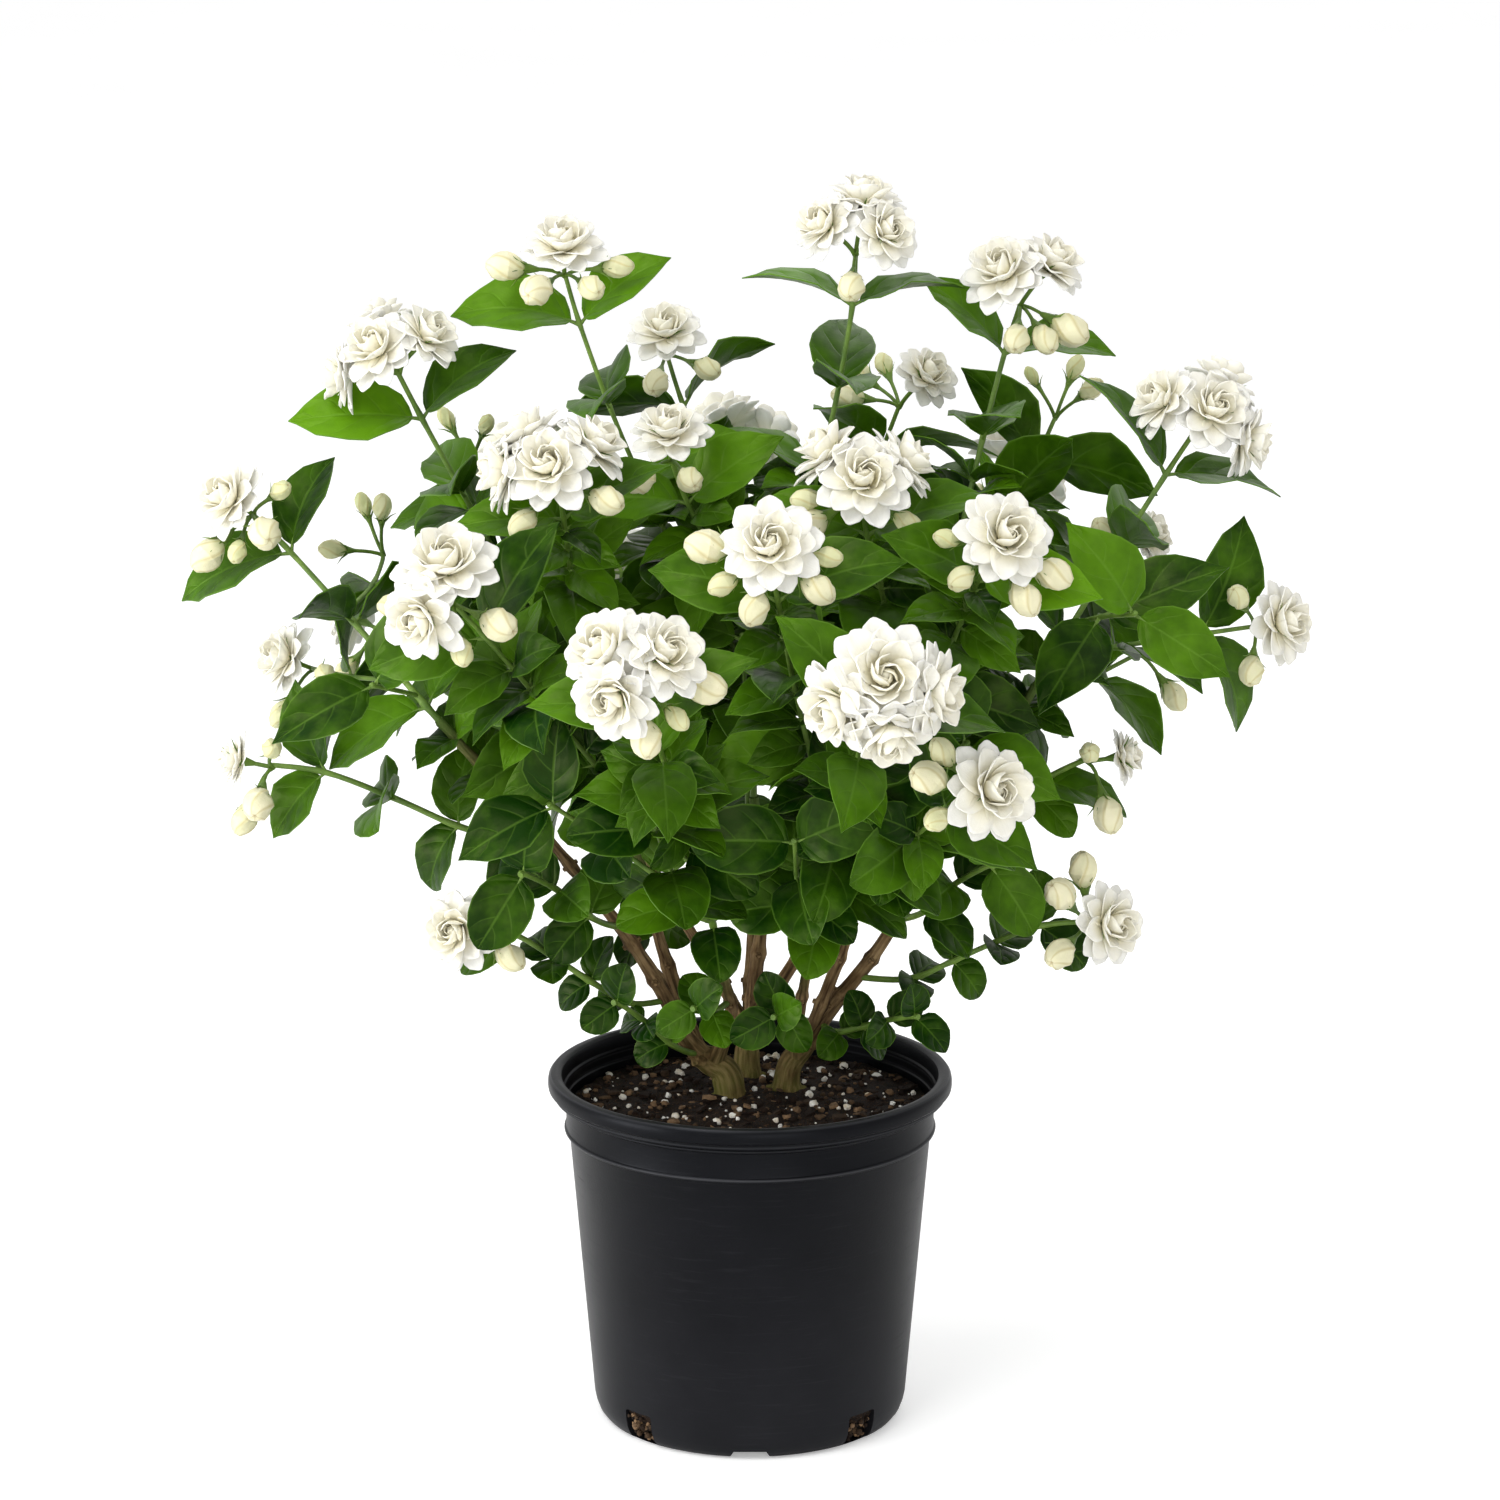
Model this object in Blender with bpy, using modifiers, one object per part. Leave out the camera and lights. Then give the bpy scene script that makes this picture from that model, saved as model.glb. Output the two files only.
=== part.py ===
"""A double-flowered jasmine bush growing in a black nursery pot.

Metres, +Z up, with the origin at the centre of the pot's flat base. The front of the bush faces -Y.
Three woody trunks stand in plain holes in the soil. Each woody limb ends in a green branch, which
carries its leaves, buds and flower stalks, and each head of white blooms sits on those stalks.
"""

from collections import namedtuple
from math import acos, atan2, cos, pi, radians, sin, tau

import bmesh
import bpy
from mathutils import Matrix, Vector
from mathutils.bvhtree import BVHTree

# Pot
POT_HEIGHT = 0.190
RIM_RADIUS = 0.108
RIM_MOUTH_RADIUS = 0.1003
RIM_DEPTH = 0.012
COLLAR_RADIUS = 0.0985
COLLAR_BOTTOM = 0.160
WALL_TOP_RADIUS = 0.0968
WALL_FOOT_RADIUS = 0.0845
WALL_FOOT_HEIGHT = 0.016
BASE_RADIUS = 0.077
WALL = 0.0017
POT_STEPS = 32
DRAIN_COUNT = 4
DRAIN_WIDTH = 0.0190
DRAIN_HEIGHT = 0.0175
NOTCH_WIDTH = 0.028
NOTCH_HEIGHT = 0.005

# Soil
GAP = 0.0003
SOIL_EDGE_HEIGHT = 0.1705
SOIL_CROWN_HEIGHT = 0.1745
SOIL_RINGS = 3
SOIL_ROUGHNESS = 0.0009
CRUMB_COUNT = 9
CRUMB_RADIUS = 0.0026
TRUNK_DEPTH = 0.040
SOIL_CLEAR_HEIGHT = 0.181

# Stems
SHOOT_RADIUS = 0.0017
TWIG_RADIUS = 0.0013
CALYX_RADIUS = 0.0016
HUB_SETBACK = 0.020
HUB_BAND = 0.0024
LEAF_BAND = 0.0032
JOIN_CLEAR = 0.0060

# Leaves, from the small round ones at the foot of the bush to the long ones at its top
LEAF_LENGTH_TOP = 0.066
LEAF_LENGTH_FOOT = 0.020
LEAF_SLIM = 0.52
LEAF_ROUND = 0.85
LEAF_THICKNESS = 0.0015
LEAF_FOLD = 0.26
LEAF_ARCH = 0.75
LIGHT_SHARE = 1.1
SKYWARD_FROM = 0.44
SKYWARD_SPAN = 0.14
PROBE_START = 0.0055
FIRST_LEAF = 0.030
LEAF_STEP_LEAST = 0.008
LEAF_STEP_SHARE = 0.66
BUSH_FOOT = 0.215
BUSH_TOP = 0.420
BACK_START = 0.09

# Blooms and buds, as shares of the bloom's radius
PETALS = 5
BLOOM_PROFILE = (
    ((0.00, 0.14), (0.00, 0.14)),
    ((1.00, 0.30), (0.62, 0.34)),
    ((0.46, 0.52), (0.46, 0.52)),
    ((0.82, 0.78), (0.52, 0.62)),
    ((0.40, 0.98), (0.26, 0.80)),
    ((0.00, 0.76), (0.00, 0.76)),
)
BLOOM_RADIUS = 0.020
SIDE_BLOOM_SHARE = 0.88
SIDE_BLOOM_REACH = 0.025
BUD_RADIUS = 0.0086
BUD_LENGTH = 0.022
BUD_STALK = 0.020

Limb = namedtuple("Limb", "trunk start route end_radius")
Branch = namedtuple("Branch", "limb at sprays")
Spray = namedtuple("Spray", "name join tip azimuth elevation radius centre ring buds")
Shoot = namedtuple("Shoot", "branch spray rings hub axis pairs")
Ring = namedtuple("Ring", "point way side radius")
Sprout = namedtuple("Sprout", "shoot band side rings tip")


def spray(name, join, tip, azimuth, elevation, radius=BLOOM_RADIUS, centre=False, ring=(), buds=()):
    """One flowering or leafy tip. Ring and buds are clock angles round the way it faces, 0 at the top."""
    return Spray(name, join, Vector(tip), azimuth, elevation, radius, centre, ring, buds)


# Each trunk: where its foot stands in the soil, and its radius there.
TRUNKS = {
    "trunk_left": (Vector((-0.012, 0.012, 0)), 0.0085),
    "trunk_middle": (Vector((-0.002, 0.050, 0)), 0.0068),
    "trunk_right": (Vector((0.020, 0.020, 0)), 0.0072),
}

# Each woody limb: its trunk, the share of the trunk's first limb where it forks, and the way it takes.
LIMBS = {
    "left": Limb("trunk_left", 0.0, (
        (-0.034, 0.010, 0.204), (-0.052, 0.004, 0.242), (-0.092, -0.010, 0.302), (-0.162, -0.030, 0.389),
    ), 0.0024),
    "upper_left": Limb("trunk_left", 0.16, (
        (-0.044, 0.020, 0.242), (-0.054, 0.026, 0.278), (-0.064, 0.026, 0.318),
    ), 0.0023),
    "front_left": Limb("trunk_left", 0.08, (
        (-0.010, -0.006, 0.222), (-0.014, -0.026, 0.250), (-0.018, -0.044, 0.276),
    ), 0.0023),
    "top": Limb("trunk_middle", 0.0, (
        (0.002, 0.048, 0.215), (0.006, 0.046, 0.270), (0.002, 0.042, 0.330),
    ), 0.0026),
    "back_left": Limb("trunk_middle", 0.14, (
        (-0.026, 0.074, 0.236), (-0.052, 0.098, 0.272), (-0.072, 0.116, 0.302),
    ), 0.0023),
    "back": Limb("trunk_middle", 0.10, (
        (0.000, 0.078, 0.230), (0.002, 0.098, 0.256), (0.000, 0.118, 0.284),
    ), 0.0023),
    "back_right": Limb("trunk_middle", 0.18, (
        (0.032, 0.076, 0.240), (0.056, 0.098, 0.276), (0.078, 0.116, 0.308),
    ), 0.0023),
    "right": Limb("trunk_right", 0.0, (
        (0.038, 0.018, 0.212), (0.064, 0.018, 0.246), (0.092, 0.010, 0.294), (0.150, 0.002, 0.400),
    ), 0.0024),
    "upper_right": Limb("trunk_right", 0.12, (
        (0.046, 0.010, 0.244), (0.058, 0.000, 0.284), (0.074, -0.010, 0.330),
    ), 0.0023),
    "front_right": Limb("trunk_right", 0.06, (
        (0.026, -0.004, 0.222), (0.030, -0.026, 0.252), (0.034, -0.046, 0.280),
    ), 0.0023),
}

# Each green branch: the limb that bears it, how far along that limb, and its tips, the leader first.
BRANCHES = {
    "branch_left": Branch("left", 1.0, (
        spray("left_outer", 0.0, (-0.274, 0.000, 0.502), -50, 34, 0.0225, True, (), (60, 110, 150, 195)),
        spray("left_low", 0.18, (-0.250, 0.030, 0.410), -58, 25, 0.0205, True, (), (90, 180)),
        spray("left_inner", 0.50, (-0.208, 0.052, 0.474), -50, 45, 0.016, False, (), (330, 30, 200)),
        spray("left_fill", 0.10, (-0.192, -0.085, 0.420), -30, 30),
    )),
    "branch_left_side": Branch("left", 0.84, (
        spray("left_side", 0.0, (-0.270, -0.030, 0.368), -75, 15, 0.015, True, (), (60, 120, 175)),
    )),
    "branch_low_left": Branch("left", 0.50, (
        spray("low_left", 0.0, (-0.154, -0.062, 0.284), -22, 8, 0.0225, True, (), (45, 115)),
    )),
    "branch_upper_left": Branch("upper_left", 1.0, (
        spray("upper_left", 0.0, (-0.193, 0.008, 0.577), -35, 40, 0.0225, True, (325, 50, 240), ()),
        spray("upper_left_front", 0.25, (-0.100, -0.100, 0.535),
              -10, 35, 0.0245, True, (325, 270, 50), (225, 95)),
        spray("upper_left_back", 0.45, (-0.156, 0.075, 0.522), -40, 60, 0.016, False, (), (300, 60)),
        spray("upper_left_fill", 0.08, (-0.150, 0.060, 0.400), -70, 30),
        spray("upper_left_low", 0.15, (-0.100, -0.050, 0.385), -30, 25),
    )),
    "branch_front_left": Branch("front_left", 1.0, (
        spray("front_left", 0.0, (-0.055, -0.228, 0.458),
              -5, 25, 0.0265, False, (305, 60, 215), (95, 135, 170)),
        spray("left_front", 0.25, (-0.154, -0.148, 0.480),
              -20, 25, 0.0265, False, (15, 200), (110, 155, 260)),
        spray("front_left_low", 0.06, (-0.048, -0.128, 0.356), -15, 30),
        spray("front_left_side", 0.12, (-0.102, -0.105, 0.362), -50, 20),
    )),
    "branch_top": Branch("top", 1.0, (
        spray("top_right", 0.0, (0.055, 0.020, 0.640), 0, 50, 0.0225, False, (15, 265, 115), (185,)),
        spray("top_left", 0.20, (-0.096, 0.000, 0.636), 0, 66, 0.0225, True, (), (100, 150, 205, 260)),
        spray("top_back", 0.34, (-0.045, 0.100, 0.576), 0, 55, 0.021, True, (), (190, 130)),
        spray("top_front", 0.27, (-0.041, -0.022, 0.542), 0, 64, 0.0215, True, (), (160, 210)),
        spray("top_low", 0.06, (-0.004, -0.012, 0.430), 0, 50),
    )),
    "branch_upper_right": Branch("upper_right", 1.0, (
        spray("upper_right", 0.0, (0.147, 0.050, 0.608), 15, 45, 0.024, False, (285, 60), (200, 170, 140)),
        spray("centre_right_top", 0.18, (0.057, -0.100, 0.528),
              5, 35, 0.025, True, (320, 60), (280, 240, 110)),
        spray("right_front", 0.12, (0.128, -0.130, 0.506), 20, 30, 0.0255, True, (), (280, 235, 165, 125)),
        spray("upper_right_back", 0.50, (0.168, 0.120, 0.541), 10, 65, 0.016, False, (), (40, 300, 120)),
        spray("upper_right_low", 0.05, (0.112, -0.065, 0.385), 40, 25),
    )),
    "branch_right": Branch("right", 1.0, (
        spray("right_upper", 0.0, (0.240, 0.000, 0.546), 25, 35, 0.0235, True, (300, 40, 125), ()),
        spray("right_outer", 0.12, (0.282, 0.000, 0.434), 52, 12, 0.0225, True, (), (310, 225)),
        spray("right_back", 0.35, (0.216, 0.070, 0.468), 65, 30, 0.018, True, (), (200, 300)),
        spray("right_fill", 0.22, (0.196, -0.075, 0.455), 35, 30),
    )),
    "branch_right_side": Branch("right", 0.84, (
        spray("right_side", 0.0, (0.198, -0.022, 0.368), 75, 12, 0.015, True, (), (290, 210)),
    )),
    "branch_low_right": Branch("right", 0.52, (
        spray("low_right", 0.0, (0.190, -0.050, 0.284), 42, 10, 0.0225, True, (), (310, 350, 250)),
    )),
    "branch_front_right": Branch("front_right", 1.0, (
        spray("front_right", 0.0, (0.064, -0.240, 0.458), 5, 20, 0.0275, True, (240, 175, 105), ()),
        spray("centre", 0.36, (0.010, -0.172, 0.510), 0, 32, 0.0255, True, (), (275, 235, 195, 130, 95)),
        spray("right_low_front", 0.20, (0.120, -0.198, 0.392), 30, 16, 0.0255, True, (), (320, 290, 250)),
        spray("front_right_low", 0.05, (0.022, -0.132, 0.350), -5, 30),
        spray("front_right_side", 0.10, (0.088, -0.110, 0.356), 40, 25),
    )),
    "branch_back_left": Branch("back_left", 1.0, (
        spray("back_left_top", 0.0, (-0.130, 0.190, 0.484), -145, 34, 0.023, False, (20, 200), (110,)),
        spray("back_left_outer", 0.12, (-0.220, 0.130, 0.412), -120, 20, 0.020, True, (), (160,)),
        spray("back_left_low", 0.25, (-0.078, 0.240, 0.425), -165, 20, 0.024, True, (), (110,)),
        spray("back_left_fill", 0.06, (-0.125, 0.165, 0.345), -140, 20),
    )),
    "branch_back": Branch("back", 1.0, (
        spray("back_top", 0.0, (-0.002, 0.205, 0.500), 178, 40, 0.024, False, (60, 240), (160,)),
        spray("back_low", 0.08, (0.000, 0.235, 0.320), 180, 8, 0.019, True, (), (120,)),
        spray("back_inner", 0.45, (0.084, 0.140, 0.543), 10, 60, 0.019, False, (120,), (315, 350, 270)),
        spray("back_fill", 0.25, (-0.040, 0.205, 0.400), -170, 30),
    )),
    "branch_back_right": Branch("back_right", 1.0, (
        spray("back_right_top", 0.0, (0.152, 0.195, 0.480), 140, 34, 0.023, False, (20, 200), (110,)),
        spray("back_right_outer", 0.12, (0.232, 0.125, 0.400), 112, 20, 0.020, True, (), (200,)),
        spray("back_right_low", 0.25, (0.078, 0.245, 0.405), 160, 15, 0.024, True, (), (90, 270)),
        spray("back_right_fill", 0.06, (0.128, 0.160, 0.345), 140, 20),
    )),
    "twig_foot_left": Branch("left", 0.30, (
        spray("foot_left", 0.0, (-0.072, -0.030, 0.236), -60, 30),
    )),
    "twig_foot_front": Branch("front_left", 0.45, (
        spray("foot_front", 0.0, (-0.030, -0.056, 0.240), -30, 35),
    )),
    "twig_foot_middle": Branch("front_right", 0.45, (
        spray("foot_middle", 0.0, (0.012, -0.058, 0.236), -20, 30),
    )),
    "twig_foot_right": Branch("right", 0.34, (
        spray("foot_right", 0.0, (0.088, -0.050, 0.234), 55, 25),
    )),
    "twig_mid_left": Branch("left", 0.68, (
        spray("mid_left", 0.0, (-0.118, -0.078, 0.318), -50, 15),
    )),
    "twig_mid_right": Branch("right", 0.68, (
        spray("mid_right", 0.0, (0.126, -0.060, 0.318), 45, 15),
    )),
    "twig_foot_back": Branch("back_left", 0.50, (
        spray("foot_back", 0.0, (-0.062, 0.120, 0.236), -140, 15),
    )),
}

BASE_COLOURS = {
    "pot": ((0.012, 0.013, 0.016), 0.42),
    "soil": ((0.045, 0.026, 0.016), 0.95),
    "wood": ((0.250, 0.170, 0.095), 0.80),
    "leaf": ((0.045, 0.150, 0.022), 0.35),
    "petal": ((0.900, 0.890, 0.820), 0.50),
}

# Ways a leaf may be bent clear of its neighbours: swing round the stem, droop, twist (degrees) and size.
LEAF_BENDS = (
    (0, 0, 0, 1.0), (18, 0, 20, 1.0), (-18, 0, -20, 1.0), (0, 20, 0, 1.0), (0, -20, 0, 1.0),
    (35, 12, 30, 0.95), (-35, 12, -30, 0.95), (0, 35, 35, 0.9), (0, -30, -35, 0.9),
    (50, -15, 0, 0.85), (-50, -15, 0, 0.85), (25, 30, -40, 0.8), (-25, 30, 40, 0.8),
    (0, 0, 50, 0.7), (0, 0, -50, 0.7), (30, -25, 0, 0.62), (-30, -25, 0, 0.62),
)
BUD_SHIFTS = (
    (0, 0), (0, 12), (18, 0), (-18, 0), (0, 24), (24, 14), (-24, 14),
    (40, 0), (-40, 0), (0, 38), (50, 25), (-50, 25),
)


def scatter(index, low=-1.0, high=1.0):
    """A fixed, even-looking draw between low and high for each index."""
    share = (sin(index * 12.9898 + 4.1414) * 43758.5453) % 1.0
    return low + (high - low) * share


def clear_scene():
    for old in list(bpy.data.objects):
        bpy.data.objects.remove(old, do_unlink=True)


def new_collection(name, hidden=False):
    made = bpy.data.collections.new(name)
    made.hide_render = hidden
    bpy.context.scene.collection.children.link(made)
    return made


def new_material(name):
    colour, roughness = BASE_COLOURS[name]
    made = bpy.data.materials.new(name)
    made.use_nodes = True
    shader = made.node_tree.nodes["Principled BSDF"]
    shader.inputs["Base Color"].default_value = (*colour, 1.0)
    shader.inputs["Roughness"].default_value = roughness
    shader.inputs["Metallic"].default_value = 0.0
    return made


def add_object(name, mesh, collection):
    made = bpy.data.objects.new(name, mesh)
    collection.objects.link(made)
    return made


def evaluated_mesh(obj, weld=False):
    """The object's mesh with its modifiers or bevel applied, and a curve's loose caps welded on."""
    bpy.context.view_layer.update()
    graph = bpy.context.evaluated_depsgraph_get()
    mesh = bpy.data.meshes.new_from_object(obj.evaluated_get(graph))
    if weld:
        work = bmesh.new()
        work.from_mesh(mesh)
        bmesh.ops.remove_doubles(work, verts=work.verts, dist=1e-6)
        work.to_mesh(mesh)
        work.free()
    return mesh


def turned(name, profile, steps, collection):
    """A solid of revolution from a profile of (radius, height) that ends on the axis both ways."""
    outline = bpy.data.meshes.new(name)
    points = [(radius, 0, height) for radius, height in profile]
    outline.from_pydata(points, [(i, i + 1) for i in range(len(points) - 1)], [])
    made = add_object(name, outline, collection)
    screw = made.modifiers.new("turn", "SCREW")
    screw.steps = screw.render_steps = steps
    screw.use_merge_vertices = True
    screw.merge_threshold = 1e-5
    made.data = evaluated_mesh(made)
    made.modifiers.clear()
    return made


def fill_hollows(mesh):
    """Fills the sealed hollows that overlapping pieces enclose, by taking out each hollow's own skin."""
    work = bmesh.new()
    work.from_mesh(mesh)
    unseen = set(work.faces)
    while unseen:
        skin = [unseen.pop()]
        for face in skin:
            for edge in face.edges:
                for other in edge.link_faces:
                    if other in unseen:
                        unseen.remove(other)
                        skin.append(other)
        volume = sum(f.calc_center_median().dot(f.normal) * f.calc_area() for f in skin)
        if volume < 0:
            bmesh.ops.delete(work, geom=skin, context="FACES")
            unseen = set(f for f in unseen if f.is_valid)
    work.to_mesh(mesh)
    work.free()


def combine(obj, pieces, operation, solver="EXACT"):
    """Joins the pieces to the object, or cuts them from it, by one Boolean, and removes them."""
    group = new_collection(obj.name + "_pieces", hidden=True)
    for piece in pieces:
        piece.display_type = "WIRE"
        piece.hide_render = True
        for home in list(piece.users_collection):
            home.objects.unlink(piece)
        group.objects.link(piece)
    boolean = obj.modifiers.new("combine", "BOOLEAN")
    boolean.operation = operation
    boolean.solver = solver
    boolean.operand_type = "COLLECTION"
    boolean.collection = group
    joined = evaluated_mesh(obj)
    if operation == "UNION":
        fill_hollows(joined)
    obj.modifiers.clear()
    obj.data = joined
    for piece in pieces:
        bpy.data.objects.remove(piece, do_unlink=True)
    bpy.data.collections.remove(group)


def box_cutter(size, place, collection):
    work = bmesh.new()
    bmesh.ops.create_cube(work, size=1.0, matrix=place @ Matrix.Diagonal((*size, 1.0)))
    mesh = bpy.data.meshes.new("cutter")
    work.to_mesh(mesh)
    work.free()
    return add_object("cutter", mesh, collection)


def make_pot(collection):
    profile = (
        (0, WALL), (BASE_RADIUS - WALL, WALL),
        (WALL_FOOT_RADIUS - WALL, WALL_FOOT_HEIGHT),
        (COLLAR_RADIUS - 1.4 * WALL, COLLAR_BOTTOM),
        (RIM_MOUTH_RADIUS, POT_HEIGHT),
        (RIM_RADIUS - 0.0015, POT_HEIGHT),
        (RIM_RADIUS, POT_HEIGHT - 0.002),
        (RIM_RADIUS, POT_HEIGHT - RIM_DEPTH + 0.002),
        (COLLAR_RADIUS + 0.0005, POT_HEIGHT - RIM_DEPTH),
        (COLLAR_RADIUS, COLLAR_BOTTOM),
        (WALL_TOP_RADIUS, COLLAR_BOTTOM - 0.002),
        (WALL_FOOT_RADIUS, WALL_FOOT_HEIGHT),
        (BASE_RADIUS, 0), (0, 0),
    )
    pot = turned("pot", profile, POT_STEPS, collection)
    cutters = []
    for k in range(DRAIN_COUNT):
        drain_turn = Matrix.Rotation(radians(45) + k * tau / DRAIN_COUNT, 4, "Z")
        window = Matrix.Translation((0, -WALL_FOOT_RADIUS, DRAIN_HEIGHT / 2 + 0.0005))
        cutters.append(box_cutter((DRAIN_WIDTH, 0.030, DRAIN_HEIGHT), drain_turn @ window, collection))
        notch_turn = Matrix.Rotation(k * tau / DRAIN_COUNT, 4, "Z")
        notch = Matrix.Translation((0, -BASE_RADIUS - 0.004, 0))
        cutters.append(box_cutter((NOTCH_WIDTH, 0.012, 2 * NOTCH_HEIGHT), notch_turn @ notch, collection))
    combine(pot, cutters, "DIFFERENCE")
    return pot


def soil_height(x, y):
    """The soil's surface: a low mound with uneven ground."""
    reach = min(1.0, (x * x + y * y) ** 0.5 / RIM_MOUTH_RADIUS)
    rough = sin(x * 310 + 1.3) * cos(y * 270 - 0.4) + 0.6 * sin(x * 140 - y * 190)
    return SOIL_CROWN_HEIGHT + (SOIL_EDGE_HEIGHT - SOIL_CROWN_HEIGHT) * reach + SOIL_ROUGHNESS * rough


def make_soil(collection):
    side = (
        (0, WALL + GAP), (BASE_RADIUS - WALL - GAP, WALL + GAP),
        (WALL_FOOT_RADIUS - WALL - GAP, WALL_FOOT_HEIGHT),
        (COLLAR_RADIUS - 1.4 * WALL - GAP, COLLAR_BOTTOM),
    )
    edge_radius = COLLAR_RADIUS - WALL - GAP
    top = [(edge_radius * (1 - k / SOIL_RINGS), SOIL_EDGE_HEIGHT) for k in range(SOIL_RINGS + 1)]
    profile = list(reversed(side + tuple(top)))
    soil = turned("soil", profile, POT_STEPS, collection)
    for vertex in soil.data.vertices:
        if vertex.co.z > COLLAR_BOTTOM + GAP:
            vertex.co.z = soil_height(vertex.co.x, vertex.co.y)
    crumbs = []
    for k in range(CRUMB_COUNT):
        angle = k * 2.39996
        reach = 0.088 * ((k + 0.8) / CRUMB_COUNT) ** 0.5
        x, y = reach * cos(angle), reach * sin(angle)
        if min((Vector((x, y, 0)) - foot).length - radius for foot, radius in TRUNKS.values()) < 0.006:
            continue
        work = bmesh.new()
        bmesh.ops.create_icosphere(work, subdivisions=1, radius=CRUMB_RADIUS * scatter(k, 0.7, 1.2))
        bmesh.ops.translate(work, verts=work.verts, vec=(x, y, soil_height(x, y)))
        mesh = bpy.data.meshes.new("crumb")
        work.to_mesh(mesh)
        work.free()
        crumbs.append(add_object("crumb", mesh, collection))
    combine(soil, crumbs, "UNION", "MANIFOLD")
    holes = []
    for foot, radius in TRUNKS.values():
        work = bmesh.new()
        hole_radius = (radius + GAP) / cos(pi / 16)
        top, bottom = SOIL_CLEAR_HEIGHT, SOIL_CROWN_HEIGHT - TRUNK_DEPTH - GAP
        middle = Matrix.Translation(foot + Vector((0, 0, (top + bottom) / 2)))
        bmesh.ops.create_cone(work, cap_ends=True, segments=16, radius1=hole_radius, radius2=hole_radius,
                              depth=top - bottom, matrix=middle)
        mesh = bpy.data.meshes.new("hole")
        work.to_mesh(mesh)
        work.free()
        holes.append(add_object("hole", mesh, collection))
    combine(soil, holes, "DIFFERENCE", "MANIFOLD")
    return soil


def through_points(points, count):
    """Evenly spread points on a smooth curve through the given ones."""
    ends = [2 * points[0] - points[1], *points, 2 * points[-1] - points[-2]]
    route = []
    for k in range(count):
        place = k / (count - 1) * (len(points) - 1)
        i = min(int(place), len(points) - 2)
        t = place - i
        a, b, c, d = ends[i:i + 4]
        curve = (2 * a - 5 * b + 4 * c - d) * t * t + (3 * b - a - 3 * c + d) * t ** 3
        route.append(0.5 * (2 * b + (c - a) * t + curve))
    return route


def bow(start, start_way, end, end_way, count):
    """Points on a smooth bow that leaves start one way and reaches end the other way."""
    reach = (end - start).length
    route = []
    for k in range(count):
        t = k / (count - 1)
        route.append(start * (2 * t ** 3 - 3 * t ** 2 + 1) + start_way * reach * (t ** 3 - 2 * t ** 2 + t)
                     + end * (3 * t ** 2 - 2 * t ** 3) + end_way * reach * (t ** 3 - t ** 2))
    return route


def point_on(route, share):
    """The point at this share of a route's points, and the way the route runs there."""
    place = min(max(share, 0.0), 0.9999) * (len(route) - 1)
    i = int(place)
    way = (route[i + 1] - route[i]).normalized()
    return route[i].lerp(route[i + 1], place - i), way


def tube(name, route, radii, resolution, collection):
    """A round stem along the route, with its own radius at each point."""
    curve = bpy.data.curves.new(name, "CURVE")
    curve.dimensions = "3D"
    curve.bevel_depth = max(radii)
    curve.bevel_resolution = resolution
    curve.use_fill_caps = True
    line = curve.splines.new("POLY")
    line.points.add(len(route) - 1)
    for point, place, radius in zip(line.points, route, radii):
        point.co = (*place, 1.0)
        point.radius = radius / max(radii)
    drawn = add_object(name + "_line", curve, collection)
    mesh = evaluated_mesh(drawn, weld=True)
    bpy.data.objects.remove(drawn, do_unlink=True)
    return add_object(name, mesh, collection)


def limb_routes():
    """Each limb's points and radii, from inside its trunk, or from its foot, to its end."""
    routes = {}
    for name, limb in LIMBS.items():
        foot, foot_radius = TRUNKS[limb.trunk]
        points = [Vector(p) for p in limb.route]
        if limb.start == 0.0:
            rise = foot + Vector((0, 0, SOIL_CLEAR_HEIGHT))
            bottom = foot + Vector((0, 0, SOIL_CROWN_HEIGHT - TRUNK_DEPTH))
            route = [bottom, *through_points([rise, *points], 8)]
            first = name
        else:
            main_route, _ = routes[first]
            start, _ = point_on(main_route, limb.start + 1 / (len(main_route) - 1))
            route = through_points([start, *points], 6)
        last = len(route) - 1
        top_radius = foot_radius if limb.start == 0.0 else 0.55 * foot_radius
        spare = top_radius - limb.end_radius
        radii = [limb.end_radius + spare * (1 - k / last) ** 1.6 for k in range(last + 1)]
        if limb.start == 0.0:
            radii[0] = radii[1] = foot_radius
        routes[name] = (route, radii)
    return routes


def make_trunks(routes, collection):
    made = []
    for trunk in TRUNKS:
        own = [name for name, limb in LIMBS.items() if limb.trunk == trunk]
        stems = [tube(name, *routes[name], 1, collection) for name in own]
        main = stems[0]
        main.name = trunk
        combine(main, stems[1:], "UNION", "MANIFOLD")
        made.append(main)
    return made


def heading(azimuth, elevation):
    """The way a spray faces. Azimuth 0 is towards the front, 90 towards +X."""
    a, e = radians(azimuth), radians(elevation)
    return Vector((sin(a) * cos(e), -cos(a) * cos(e), sin(e)))


def clock_way(axis, clock, tilt):
    """The axis tilted towards a clock angle, with 0 at the top and 90 to the right, seen from the front."""
    up = (Vector((0, 0, 1)) - axis * axis.z).normalized()
    right = up.cross(axis)
    side = up * cos(radians(clock)) + right * sin(radians(clock))
    return axis * cos(radians(tilt)) + side * sin(radians(tilt))


def placed(work, origin, way, face):
    """Turns the mesh so that its Y runs along way and its Z faces as asked, and moves it to origin."""
    up = (face - way * face.dot(way)).normalized()
    turn = Matrix((way.cross(up), way, up)).transposed().to_4x4()
    bmesh.ops.transform(work, matrix=Matrix.Translation(origin) @ turn, verts=work.verts)


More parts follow.
